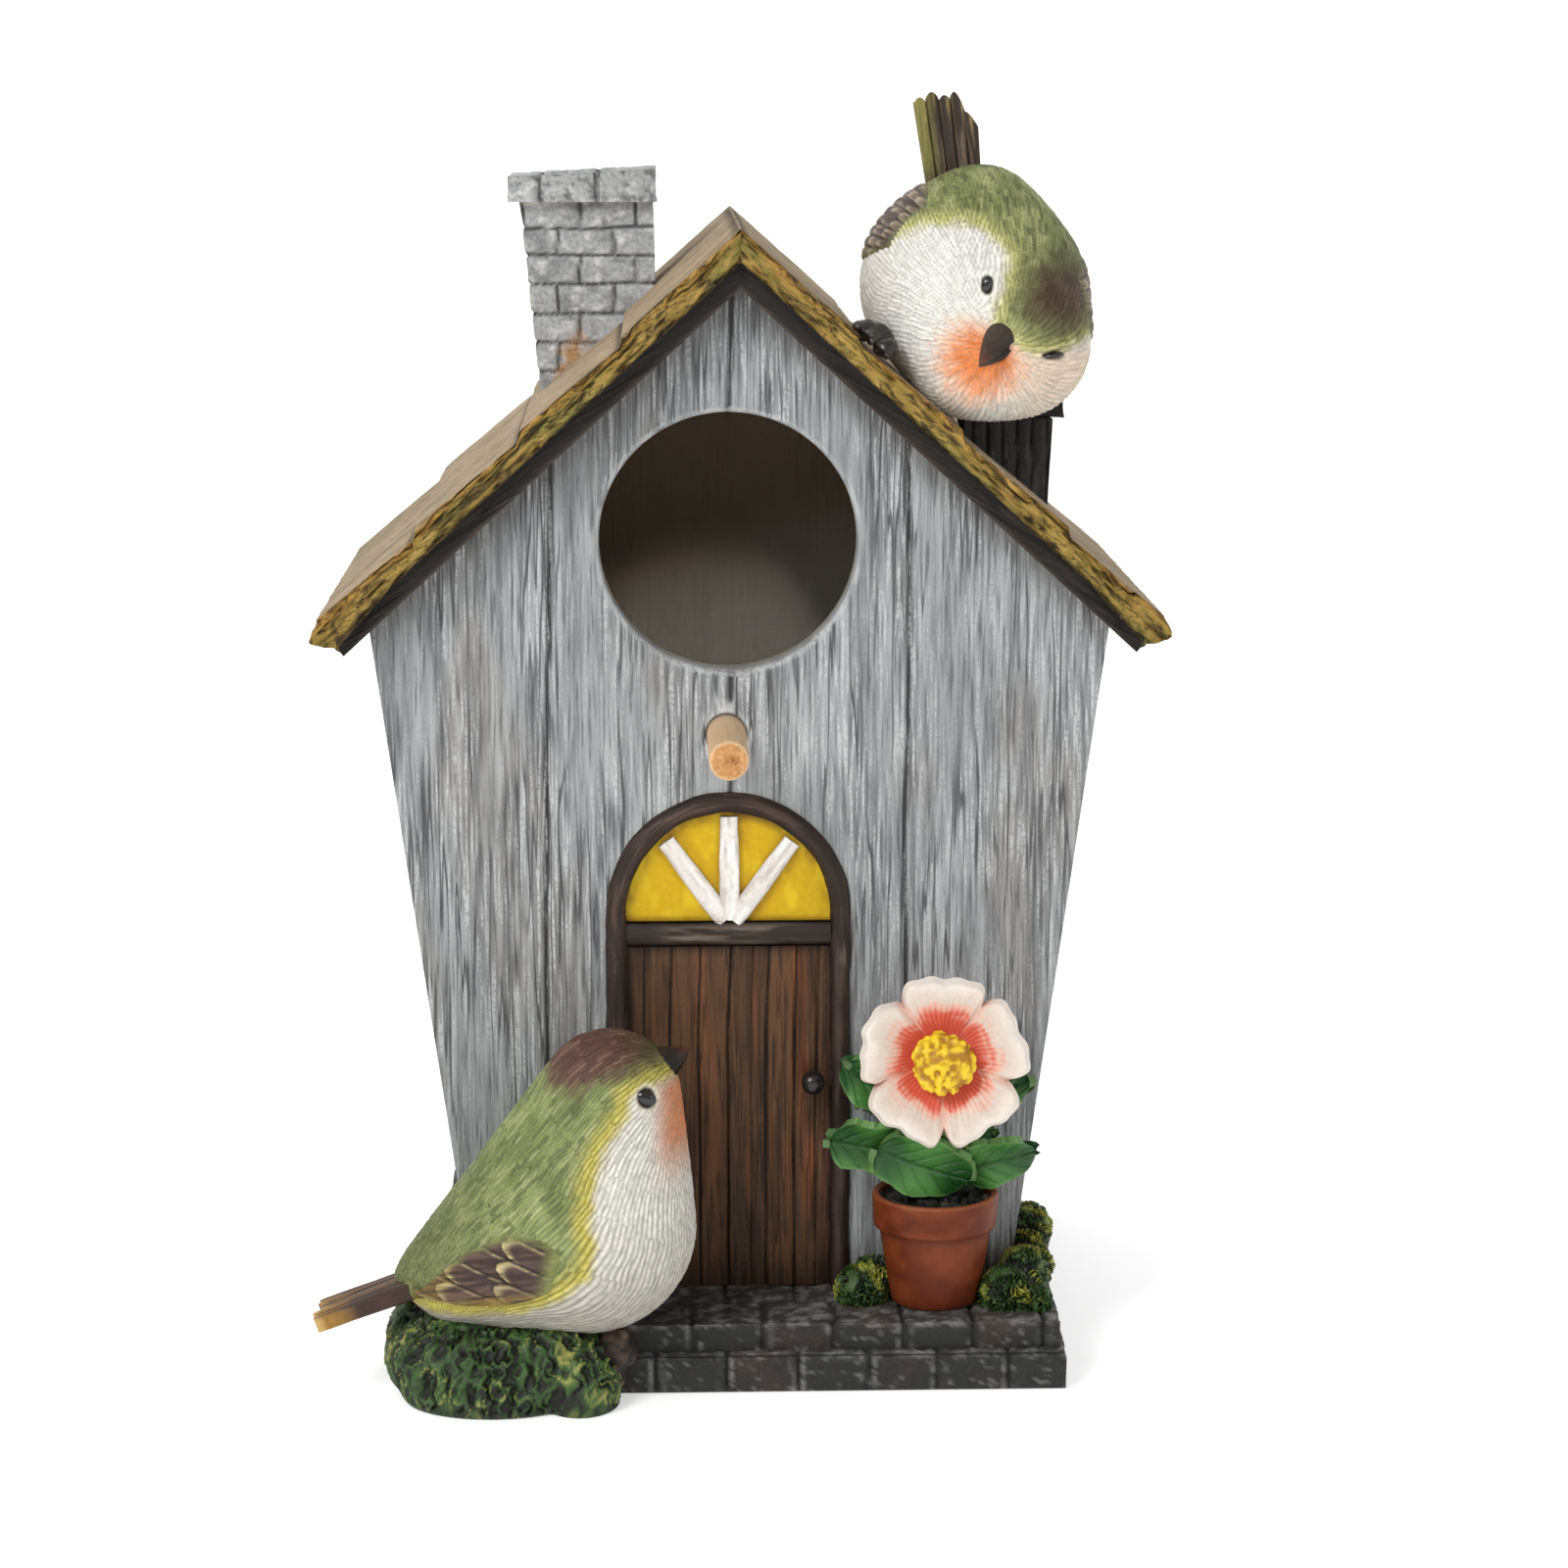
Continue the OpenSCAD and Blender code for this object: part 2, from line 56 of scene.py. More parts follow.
PAPER_Z = -0.2 * MM
PAPER_BEND = 0.9
PAPER_ROUND = 0.7
PAPER_GREY = 0.88
PAPER_GLOW = 0.42
ROOM_GLOW = 0.55


def clear_selection():
    """Nothing stays selected or active, so that an operator acts only on the next piece."""
    for thing in bpy.context.selected_objects:
        thing.select_set(False)
    bpy.context.view_layer.objects.active = None


def take(piece):
    """Selects one piece alone and makes it active."""
    clear_selection()
    piece.select_set(True)
    bpy.context.view_layer.objects.active = piece
    return piece


def name_new(name):
    """Names the active object, which is the one just made, and its mesh."""
    piece = bpy.context.active_object
    piece.name = name
    piece.data.name = name
    return piece


def apply_all(piece):
    """Applies the piece's place, turn and size to its mesh."""
    take(piece)
    bpy.ops.object.transform_apply(location=True, rotation=True, scale=True)


def new_material(name, roughness):
    """A material with one Principled shader; returns its node tree and the shader."""
    material = bpy.data.materials.new(name)
    material.use_nodes = True
    tree = material.node_tree
    shader = tree.nodes["Principled BSDF"]
    shader.inputs["Roughness"].default_value = roughness
    return material, tree, shader


def set_material(piece, material):
    """The piece wears this material alone."""
    piece.data.materials.clear()
    piece.data.materials.append(material)


camera_data = bpy.data.cameras.new("studio_camera")
camera_data.lens = CAMERA_LENS
camera_data.sensor_width = 36
camera = bpy.data.objects.new("studio_camera", camera_data)
camera.location = CAMERA_AT
camera.rotation_euler = (CAMERA_TILT, 0, CAMERA_TURN)
bpy.context.scene.collection.objects.link(camera)
bpy.context.scene.camera = camera

clear_selection()
bpy.ops.mesh.primitive_grid_add(
    x_subdivisions=2, y_subdivisions=PAPER_STRIPS, size=PAPER_SIZE, location=(0, 0, PAPER_Z)
)
floor = name_new("studio_paper")
apply_all(floor)
for point in floor.data.vertices:
    past = point.co.y - PAPER_BEND
    if past > 0:
        angle = min(past / PAPER_ROUND, math.pi / 2)
        rise = max(past - PAPER_ROUND * math.pi / 2, 0)
        point.co.y = PAPER_BEND + PAPER_ROUND * math.sin(angle)
        point.co.z = PAPER_Z + PAPER_ROUND * (1 - math.cos(angle)) + rise
floor_paint, _, floor_shader = new_material("studio_paper", 0.9)
floor_shader.inputs["Base Color"].default_value = (PAPER_GREY, PAPER_GREY, PAPER_GREY, 1)
floor_shader.inputs["Emission Color"].default_value = (1, 1, 1, 1)
floor_shader.inputs["Emission Strength"].default_value = PAPER_GLOW
set_material(floor, floor_paint)

world = bpy.data.worlds.new("studio_world")
world.use_nodes = True
world.node_tree.nodes["Background"].inputs["Color"].default_value = (1, 1, 1, 1)
world.node_tree.nodes["Background"].inputs["Strength"].default_value = ROOM_GLOW
bpy.context.scene.world = world
bpy.context.scene.view_settings.view_transform = "Standard"


def soft_light(name, place, aim, size, power, spread=180):
    """A square area light at place, turned towards aim. A small spread makes a narrow beam."""
    data = bpy.data.lights.new(name, "AREA")
    data.size = size
    data.energy = power
    data.spread = math.radians(spread)
    light = bpy.data.objects.new(name, data)
    light.location = place
    to_aim = [a - p for a, p in zip(aim, place)]
    across = math.hypot(to_aim[0], to_aim[1])
    turn = math.atan2(to_aim[1], to_aim[0]) - math.pi / 2
    light.rotation_euler = (math.atan2(across, -to_aim[2]), 0, turn)
    bpy.context.scene.collection.objects.link(light)


soft_light("key_light", (-0.62, -0.8, 0.85), (0, 0, 0.12), 0.45, 8.5)
soft_light("fill_light", (0.9, -0.7, 0.5), (0, 0, 0.12), 0.7, 1.2)
soft_light("entrance_light", (0.03, -0.62, 0.43), (0, -0.032, 0.166), 0.14, 0.006, 8)

# ---- Plinth: two courses of cast pavers, charcoal paint with pale dry-brushed edges. It is one
# casting, so the joints between the pavers are grooves in its relief.
PAVER_PITCH = 14.2 * MM
PAVER_JOINT = 0.55 * MM
PAVER_ROW = 17 * MM


def cell_share(i, j, k, seed):
    """A repeatable random share from 0 to 1 for each whole-numbered cell."""
    n = (i * 73856093) ^ (j * 19349663) ^ (k * 83492791) ^ (seed * 668265263)
    n = n & 0x7FFFFFFF
    n = (((n >> 13) ^ n) * 1274126177) & 0x7FFFFFFF
    n = (((n >> 15) ^ n) * 668265263) & 0x7FFFFFFF
    return ((n >> 10) & 0xFFFF) / 65535.0


def ripple(p, size, seed=0):
    """Smooth random waves from 0 to 1 at points p. size is a wave's length in millimetres, one
    for all axes or one each along X, Y and Z."""
    q = p / (np.asarray(size, float) * MM)
    cell = np.floor(q).astype(np.int64)
    f = q - cell
    f = f * f * (3 - 2 * f)
    total = np.zeros(len(p))
    for dx in (0, 1):
        for dy in (0, 1):
            for dz in (0, 1):
                corner = cell_share(cell[:, 0] + dx, cell[:, 1] + dy, cell[:, 2] + dz, seed)
                wx = f[:, 0] if dx else 1 - f[:, 0]
                wy = f[:, 1] if dy else 1 - f[:, 1]
                wz = f[:, 2] if dz else 1 - f[:, 2]
                total += corner * wx * wy * wz
    return total


def rough(p, size, octaves=3, seed=0):
    """Several ripples added up, each half the size and half the strength of the last."""
    size = np.asarray(size, float) * np.ones(3)
    total = np.zeros(len(p))
    weight = 0.0
    for octave in range(octaves):
        share = 0.5 ** octave
        total += share * ripple(p, size * share, seed + octave)
        weight += share
    return total / weight


def ramp(value, low, high):
    """0 below low, 1 above high, and a smooth rise between them."""
    t = np.clip((value - low) / (high - low), 0, 1)
    return t * t * (3 - 2 * t)


def mix(a, b, share):
    """Colour a where share is 0 and colour b where it is 1."""
    share = np.asarray(share)[:, None]
    return np.asarray(a) * (1 - share) + np.asarray(b) * share


def points_of(piece):
    """The piece's points as rows of X, Y and Z in metres."""
    flat = np.empty(len(piece.data.vertices) * 3)
    piece.data.vertices.foreach_get("co", flat)
    return flat.reshape(-1, 3)


def facing_of(piece):
    """The outward direction at each point."""
    flat = np.empty(len(piece.data.vertices) * 3)
    piece.data.vertex_normals.foreach_get("vector", flat)
    return flat.reshape(-1, 3)


def move_points(piece, places):
    """Puts the piece's points at new places."""
    piece.data.vertices.foreach_set("co", np.ascontiguousarray(places, float).ravel())
    piece.data.update()


def lay_paint(piece, colour):
    """Stores one colour at each point, for the piece's material to read."""
    layer = piece.data.color_attributes.new("paint", "FLOAT_COLOR", "POINT")
    rgba = np.ones((len(piece.data.vertices), 4))
    rgba[:, :3] = np.clip(colour, 0, 1)
    layer.data.foreach_set("color", rgba.ravel())


def cut_edges(piece, axis, cuts):
    """Divides every edge that runs along one axis of a box, so that its faces become strips."""
    steps = []
    while cuts > 90:
        steps.append(3)
        cuts = cuts // 4
    steps.append(cuts)
    for step in steps:
        take(piece)
        bpy.ops.object.mode_set(mode="EDIT")
        bpy.ops.mesh.select_mode(type="EDGE")
        bpy.ops.mesh.select_all(action="DESELECT")
        bpy.ops.object.mode_set(mode="OBJECT")
        co = points_of(piece)
        ends = np.empty(len(piece.data.edges) * 2, np.int32)
        piece.data.edges.foreach_get("vertices", ends)
        along = np.abs(co[ends[1::2]] - co[ends[0::2]])
        chosen = along[:, axis] > along.sum(axis=1) * 0.999
        piece.data.edges.foreach_set("select", chosen)
        bpy.ops.object.mode_set(mode="EDIT")
        bpy.ops.mesh.subdivide(number_cuts=int(step))
        bpy.ops.object.mode_set(mode="OBJECT")


def cast_block(name, low, high, pitch):
    """A box between two corners whose faces are cut into a net with about this pitch."""
    clear_selection()
    centre = [(a + b) / 2 for a, b in zip(low, high)]
    bpy.ops.mesh.primitive_cube_add(size=1, location=centre)
    piece = name_new(name)
    piece.scale = [b - a for a, b in zip(low, high)]
    apply_all(piece)
    for axis in range(3):
        cuts = int(round((high[axis] - low[axis]) / pitch[axis])) - 1
        if cuts > 0:
            cut_edges(piece, axis, cuts)
    return piece


def node_chain(tree, kind, **values):
    """Adds a shader node and sets its sockets by name."""
    node = tree.nodes.new(kind)
    for key, value in values.items():
        node.inputs[key].default_value = value
    return node


def shade_ramp(tree, source, low, high, to_low=0.0, to_high=1.0, kind="SMOOTHSTEP"):
    """A shader step that stretches source from low-high to to_low-to_high."""
    node = tree.nodes.new("ShaderNodeMapRange")
    node.interpolation_type = kind
    for key, value in (("From Min", low), ("From Max", high), ("To Min", to_low), ("To Max", to_high)):
        node.inputs[key].default_value = value
    tree.links.new(source, node.inputs["Value"])
    return node.outputs["Result"]


def shade_noise(tree, vector, stretch, scale, detail=3, roughness=0.55):
    """Shader noise along stretched coordinates."""
    turn = node_chain(tree, "ShaderNodeMapping", Scale=stretch)
    tree.links.new(vector, turn.inputs["Vector"])
    fine = node_chain(tree, "ShaderNodeTexNoise", Scale=scale, Detail=detail, Roughness=roughness)
    tree.links.new(turn.outputs["Vector"], fine.inputs["Vector"])
    return fine.outputs["Fac"]


def paint_layer(tree):
    """The shader node that reads the piece's own paint."""
    layer = tree.nodes.new("ShaderNodeVertexColor")
    layer.layer_name = "paint"
    return layer


def object_place(tree):
    """The shader socket with the place on the object."""
    return tree.nodes.new("ShaderNodeTexCoord").outputs["Object"]


def tint_base(tree, shader, colour, share):
    """The shader's base colour is a colour made lighter or darker by a share."""
    tint = tree.nodes.new("ShaderNodeVectorMath")
    tint.operation = "SCALE"
    tree.links.new(colour, tint.inputs[0])
    tree.links.new(share, tint.inputs["Scale"])
    tree.links.new(tint.outputs["Vector"], shader.inputs["Base Color"])


def raise_relief(tree, shader, height, strength, depth):
    """A bump of this depth in metres on the shader."""
    relief = node_chain(tree, "ShaderNodeBump", Strength=strength, Distance=depth)
    tree.links.new(height, relief.inputs["Height"])
    tree.links.new(relief.outputs["Normal"], shader.inputs["Normal"])


def painted(name, roughness, grain, speckle=0.25, bump=0.08 * MM, sheen=0.3):
    """Paint on cast resin: the piece's own paint layer, broken up by a fine speckle of this
    grain in metres, with a matching bump and slightly uneven gloss."""
    material, tree, shader = new_material(name, roughness)
    fine = shade_noise(tree, object_place(tree), (1, 1, 1), 1 / grain, 4, 0.6)
    spread = shade_ramp(tree, fine, 0.3, 0.7, 1 - speckle, 1 + speckle, "LINEAR")
    tint_base(tree, shader, paint_layer(tree).outputs["Color"], spread)
    gloss = shade_ramp(tree, fine, 0, 1, max(roughness - 0.12, 0.05), min(roughness + 0.12, 1), "LINEAR")
    tree.links.new(gloss, shader.inputs["Roughness"])
    raise_relief(tree, shader, fine, 0.7, bump)
    shader.inputs["Specular IOR Level"].default_value = sheen
    return material


SMOOTH_UP_TO = math.radians(50)


def place_piece(piece, material, slot, *nodes):
    """Gives the piece its material and smooth shading. It rides on the house and stands for
    these CAD nodes."""
    set_material(piece, material)
    take(piece)
    bpy.ops.object.shade_smooth_by_angle(angle=SMOOTH_UP_TO)
    clear_selection()
    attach(piece, "house")
    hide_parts(*nodes)


plinth_low, plinth_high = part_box("plinth")
course_z = plinth_low.z + 7.8 * MM
step_back = 2.5 * MM


def pave(piece, seed, shift, top_z):
    """Cuts paver joints into one course, wears its edges and paints it."""
    p = points_of(piece)
    n = facing_of(piece)
    row = np.floor((p[:, 1] - plinth_low.y) / PAVER_ROW).astype(np.int64)
    on_top = n[:, 2] > 0.6
    side_on = np.abs(n[:, 0]) > 0.6
    u = np.where(side_on, p[:, 1], p[:, 0])
    u = u + 0.6 * MM * (ripple(p, (9, 9, 5), seed) - 0.5)
    u = u + np.where(on_top, (row % 2) * PAVER_PITCH / 2, 0) + shift
    beside = np.abs((u / PAVER_PITCH) % 1 - 0.5) * PAVER_PITCH
    joint = 1 - ramp(PAVER_PITCH / 2 - beside, PAVER_JOINT * 0.3, PAVER_JOINT * 1.3)
    across = (p[:, 1] - plinth_low.y) % PAVER_ROW
    row_joint = 1 - ramp(np.minimum(across, PAVER_ROW - across), 0.2 * MM, 0.8 * MM)
    joint = np.where(on_top, np.maximum(joint, row_joint), joint)
    edge_top = ramp(p[:, 2], top_z - 1.6 * MM, top_z - 0.1 * MM)
    chips = rough(p, 2.4, 3, seed + 5)
    wear = ramp(chips, 0.5, 0.75) * edge_top
    lump = rough(p, 6, 3, seed + 9) - 0.5
    depth = -0.75 * MM * joint + 0.55 * MM * lump - 0.55 * MM * wear
    depth = np.where(n[:, 2] < -0.6, 0, depth)
    move_points(piece, p + n * depth[:, None])
    brick = np.floor(u / PAVER_PITCH).astype(np.int64)
    tone = cell_share(brick, row, brick * 0, seed)
    brown = ramp(tone * 0.5 + rough(p, 5, 2, seed + 3) * 0.7, 0.6, 0.95)
    colour = mix((0.028, 0.027, 0.026), (0.046, 0.034, 0.028), brown)
    # Painted light: the top faces are lighter and the sides darker, as light falls from above.
    colour = colour * np.where(on_top, 1.5, 0.72)[:, None]
    veins = rough(p, (3.6, 3.6, 1.6), 3, seed + 11)
    crackle = 1 - ramp(np.abs(veins - 0.5), 0.004, 0.022)
    spot = ramp(rough(p, 1.5, 2, seed + 13), 0.35, 0.65)
    brushed = edge_top * (1 - joint) * ramp(chips, 0.36, 0.58) * spot
    brushed = np.maximum(brushed, 0.6 * crackle * (1 - joint) * ramp(chips, 0.4, 0.6))
    brushed = np.maximum(brushed, 0.8 * joint_edge(beside) * spot)
    brushed = brushed * np.where(on_top, 0.8, 0.85)
    colour = mix(colour, (0.27, 0.267, 0.262), np.clip(brushed, 0, 1) * 0.75)
    colour = mix(colour, (0.006, 0.006, 0.006), joint * 0.85)
    lay_paint(piece, colour)


def joint_edge(beside):
    """1 on a paver's worn edge, just beside a joint."""
    off = PAVER_PITCH / 2 - beside
    return ramp(off, 0.6 * MM, 0.9 * MM) * (1 - ramp(off, 1.1 * MM, 1.8 * MM))


paver_paint = painted("paver_paint", 0.62, 0.7 * MM, speckle=0.35, bump=0.12 * MM)
PAVER_NET = (0.9 * MM, 0.9 * MM, 0.65 * MM)
lower_course = cast_block(
    "plinth_lower_course",
    (plinth_low.x, plinth_low.y, plinth_low.z),
    (plinth_high.x, plinth_high.y, course_z),
    PAVER_NET,
)
pave(lower_course, 11, 3.6 * MM, course_z)
place_piece(lower_course, paver_paint, "paver_resin", "plinth")
upper_course = cast_block(
    "plinth_upper_course",
    (plinth_low.x + 1 * MM, plinth_low.y + step_back, course_z - 1 * MM),
    (plinth_high.x - 1 * MM, plinth_high.y, plinth_high.z),
    PAVER_NET,
)
pave(upper_course, 23, -3.9 * MM, plinth_high.z)
place_piece(upper_course, paver_paint, "paver_resin", "plinth")

# ---- Walls: four cast panels of boards, grey weathered paint over a vertical plank relief. The front
# one carries the round entrance with its rolled lip, the perch hole and the door's recess.
FOOT_Z = 13.4 * MM
FOOT_HALF = 55.5 * MM
CORNER_X = 74.46 * MM
CORNER_Z = 151.8 * MM
APEX_Z = 220 * MM
LEAN = (CORNER_X - FOOT_HALF) / (CORNER_Z - FOOT_Z)
SLOPE = (APEX_Z - CORNER_Z) / CORNER_X
WALL = 8 * MM
FRONT_Y = -36 * MM
REAR_Y = 59 * MM
RECESS_Y = -34 * MM
RECESS_R = 24.9 * MM
CLEAR = 5 * MM
ENTRANCE = (-2.4 * MM, 169 * MM)
ENTRANCE_R = 26 * MM
PERCH = (-2.9 * MM, 130 * MM)
DOOR_X = -2.6 * MM
DOOR_ARCH_Z = 93 * MM


def ink(code):
    """A colour written as six hexadecimal digits, as linear red, green and blue."""
    parts = [int(code[i:i + 2], 16) / 255 for i in (0, 2, 4)]
    return tuple(c / 12.92 if c <= 0.04045 else ((c + 0.055) / 1.055) ** 2.4 for c in parts)


def coats(colour, *layers):
    """Lays coats of paint over a colour. Each is a colour, in six hexadecimal digits or as three
    values, and its share at each point."""
    for coat, share in layers:
        colour = mix(colour, ink(coat) if isinstance(coat, str) else coat, share)
    return colour


def face_outwards(piece):
    """Turns every face of a closed piece outwards."""
    take(piece)
    bpy.ops.object.mode_set(mode="EDIT")
    bpy.ops.mesh.select_all(action="SELECT")
    bpy.ops.mesh.normals_make_consistent(inside=False)
    bpy.ops.object.mode_set(mode="OBJECT")


def modify(piece, kind, **settings):
    """Puts one modifier on the piece and applies it."""
    take(piece)
    modifier = piece.modifiers.new(kind.lower(), kind)
    for key, value in settings.items():
        setattr(modifier, key, value)
    bpy.ops.object.modifier_apply(modifier=modifier.name)


def outline_block(name, outline, y_low, y_high):
    """A slab between two depths whose outline in X and Z is given by corner points."""
    clear_selection()
    bpy.ops.mesh.primitive_circle_add(vertices=len(outline), radius=1, fill_type="NGON")
    piece = name_new(name)
    places = [(x, y_low, z) for x, z in outline]
    move_points(piece, places)
    bpy.ops.object.mode_set(mode="EDIT")
    bpy.ops.mesh.select_all(action="SELECT")
    bpy.ops.mesh.extrude_region_move(TRANSFORM_OT_translate={"value": (0, y_high - y_low, 0)})
    bpy.ops.object.mode_set(mode="OBJECT")
    face_outwards(piece)
    return piece


def spun(name, profile, centre, turns=160, axis=1):
    """A solid of revolution through centre: rows of (radius, place along the axis)."""
    clear_selection()
    bpy.ops.mesh.primitive_circle_add(vertices=turns, radius=1, fill_type="NGON")
    piece = name_new(name)
    bpy.ops.object.mode_set(mode="EDIT")
    bpy.ops.mesh.select_mode(type="FACE")
    bpy.ops.mesh.select_all(action="SELECT")
    for _ in profile[1:]:
        bpy.ops.mesh.extrude_region_move(TRANSFORM_OT_translate={"value": (0, 0, 1)})
    bpy.ops.object.mode_set(mode="OBJECT")
    p = points_of(piece)
    row = np.round(p[:, 2]).astype(int)
    radius = np.asarray([r for r, _ in profile])[row]
    along = np.asarray([d for _, d in profile])[row]
    places = np.empty((len(p), 3))
    places[:, 0] = centre[0] + p[:, 0] * radius
    if axis == 1:
        places[:, 1] = along
        places[:, 2] = centre[1] + p[:, 1] * radius
    else:
        places[:, 1] = centre[1] + p[:, 1] * radius
        places[:, 2] = along
    move_points(piece, places)
    face_outwards(piece)
    return piece


def carve(piece, cutter, how="DIFFERENCE"):
    """Cuts the piece with a second solid, then throws the second solid away."""
    modify(piece, "BOOLEAN", operation=how, solver="EXACT", object=cutter)
    take(cutter)
    bpy.ops.object.delete()
    clear_selection()


def shade_math(tree, kind, a, b):
    """A shader sum: a and b are sockets or plain numbers."""
    node = tree.nodes.new("ShaderNodeMath")
    node.operation = kind
    for socket, value in zip(node.inputs, (a, b)):
        if isinstance(value, (int, float)):
            socket.default_value = value
        else:
            tree.links.new(value, socket)
    return node.outputs["Value"]


def shade_mix(tree, first, second, share):
    """A shader blend of two colours; second may be a plain colour."""
    node = tree.nodes.new("ShaderNodeMix")
    node.data_type = "RGBA"
    tree.links.new(first, node.inputs["A"])
    if isinstance(second, tuple):
        node.inputs["B"].default_value = second + (1,)
    else:
        tree.links.new(second, node.inputs["B"])
    tree.links.new(share, node.inputs["Factor"])
    return node.outputs["Result"]


def own_place(tree):
    """The shader socket with the piece's own grain coordinates."""
    node = tree.nodes.new("ShaderNodeAttribute")
    node.attribute_name = "grain"
    return node.outputs["Vector"]


def weathered(name, pale, dark, pitch=0.62 * MM, stretch=(1, 1, 0.05), own_grain=False,
              pale_share=0.85, line_share=0.9, roughness=0.68, bump=0.3 * MM, line_pitch=3.0 * MM):
    """Dry-brushed paint over wood grain: pale strokes on the ridges, dark hairline cracks. The
    grain runs along Z, or along the first axis of the piece's own grain coordinates."""
    material, tree, shader = new_material(name, roughness)
    layer = paint_layer(tree)
    vector = own_place(tree) if own_grain else object_place(tree)
    lines_stretch = tuple(s if s == 1 else s * 0.7 for s in stretch)
    fine = shade_noise(tree, vector, stretch, 1 / pitch, 3)
    coarse = shade_noise(tree, vector, lines_stretch, 1 / line_pitch, 2)
    patch = shade_noise(tree, vector, tuple(s ** 0.5 for s in stretch), 1 / (9 * MM), 3)
    speck = shade_noise(tree, vector, (1, 1, 1), 1 / (0.8 * MM), 3)
    away = shade_math(tree, "ABSOLUTE", shade_math(tree, "SUBTRACT", coarse, 0.5), 0.0)
    line = shade_ramp(tree, away, 0.006, 0.026, 1.0, 0.0)
    line = shade_math(tree, "MULTIPLY", line, shade_ramp(tree, patch, 0.4, 0.55, 0.25, 1.0))
    strokes = shade_math(tree, "MULTIPLY", shade_ramp(tree, fine, 0.5, 0.6),
                         shade_ramp(tree, patch, 0.36, 0.64, 0.25, 1.0))
    strokes = shade_math(tree, "MULTIPLY", strokes, shade_ramp(tree, speck, 0.38, 0.54, 0.3, 1.0))
    pits = shade_ramp(tree, fine, 0.33, 0.46, 0.7, 0.0)
    colour = shade_mix(tree, layer.outputs["Color"], pale, shade_math(tree, "MULTIPLY", strokes, pale_share))
    colour = shade_mix(tree, colour, dark, shade_math(tree, "MULTIPLY", pits, line_share))
    colour = shade_mix(tree, colour, dark, shade_math(tree, "MULTIPLY", line, line_share))
    colour = shade_mix(tree, layer.outputs["Color"], colour, layer.outputs["Alpha"])
    tree.links.new(colour, shader.inputs["Base Color"])
    height = shade_math(tree, "SUBTRACT", fine, shade_math(tree, "MULTIPLY", line, 0.6))
    height = shade_math(tree, "ADD", height, shade_math(tree, "MULTIPLY", speck, 0.25))
    raise_relief(tree, shader, height, 0.8, bump)
    shader.inputs["Specular IOR Level"].default_value = 0.3
    return material


def lay_grain(piece, places):
    """Stores the piece's own grain coordinates, in metres, for its material."""
    layer = piece.data.attributes.new("grain", "FLOAT_VECTOR", "POINT")
    layer.data.foreach_set("vector", np.ascontiguousarray(places, float).ravel())


def lay_shares(piece, colour, share):
    """Paint with a share in its fourth value: how strongly the worn grain shows there."""
    layer = piece.data.color_attributes.new("paint", "FLOAT_COLOR", "POINT")
    rgba = np.concatenate([np.clip(colour, 0, 1), np.clip(share, 0, 1)[:, None]], 1)
    layer.data.foreach_set("color", rgba.ravel())


WALL_GREY = ink("929495")
WALL_WARM = ink("8d867e")
WALL_PALE = ink("c6c8c8")
WALL_LINE = ink("48484a")
board_paint = weathered("board_paint", tuple(0.88 * c for c in WALL_PALE), WALL_LINE)

# A plank edge: place along the wall, drift per metre of height, width, depth
FRONT_EDGES = (
    (-39.5, 0.012, 0.9, 0.9),
    (-2.0, 0.0, 0.8, 0.85),
    (33.5, 0.004, 0.9, 0.9),
    (-17.5, 0.01, 0.55, 0.4),
    (-9.3, -0.006, 0.5, 0.35),
    (5.9, 0.004, 0.5, 0.35),
    (-57.5, 0.08, 0.5, 0.3),
    (17.5, 0.01, 0.45, 0.25),
    (52.0, -0.05, 0.5, 0.3),
)
SIDE_EDGES = (
    (-14, 0.0, 0.8, 0.8),
    (9, 0.01, 0.8, 0.8),
    (31, -0.01, 0.8, 0.8),
    (-3, 0.01, 0.45, 0.3),
    (20, 0.0, 0.45, 0.3),
)


def plank_depth(u, z, edges, seed):
    """How deep the plank edges and the grain go at place u along a wall and height z."""
    spot = np.stack([u, np.zeros(len(u)), z], 1)
    wobble = (ripple(spot, (30, 1, 22), seed) - 0.5) * 1.1 * MM
    depth = np.zeros(len(u))
    for place, drift, width, deep in edges:
        gap = np.abs(u + wobble - (place * MM + drift * (z - 90 * MM)))
        depth = np.maximum(depth, deep * MM * (1 - ramp(gap, 0.15 * width * MM, width * MM)))
    grain = rough(spot, (1.7, 1, 26), 2, seed + 3)
    return depth + 0.32 * MM * (1 - grain), depth


def wall_paint(u, z, depth, seed, foot_darker=True):
    """Grey paint, warmer beside the plank edges, dark in them and darker towards the foot."""
    spot = np.stack([u, np.zeros(len(u)), z], 1)
    patch = rough(spot, (11, 1, 40), 3, seed)
    colour = coats(
        WALL_GREY,
        (WALL_WARM, ramp(patch, 0.5, 0.78) * 0.45),
        ("a6a9aa", ramp(1 - patch, 0.5, 0.75) * 0.4),
    )
    streak = rough(spot, (1.3, 1, 22), 3, seed + 7)
    colour = coats(
        colour,
        ("6c6d6f", ramp(streak, 0.5, 0.72) * 0.6),
        ("b9bcbd", ramp(1 - streak, 0.52, 0.72) * 0.4),
        ("222122", ramp(depth, 0.25 * MM, 0.8 * MM) * 0.9),
    )
    if foot_darker:
        colour = mix(colour, ink("4c463f"), (1 - ramp(z, FOOT_Z, FOOT_Z + 12 * MM)) * 0.5)
    return colour * 0.86


GABLE = (
    (-FOOT_HALF, FOOT_Z), (FOOT_HALF, FOOT_Z), (CORNER_X, CORNER_Z), (0, APEX_Z), (-CORNER_X, CORNER_Z),
)


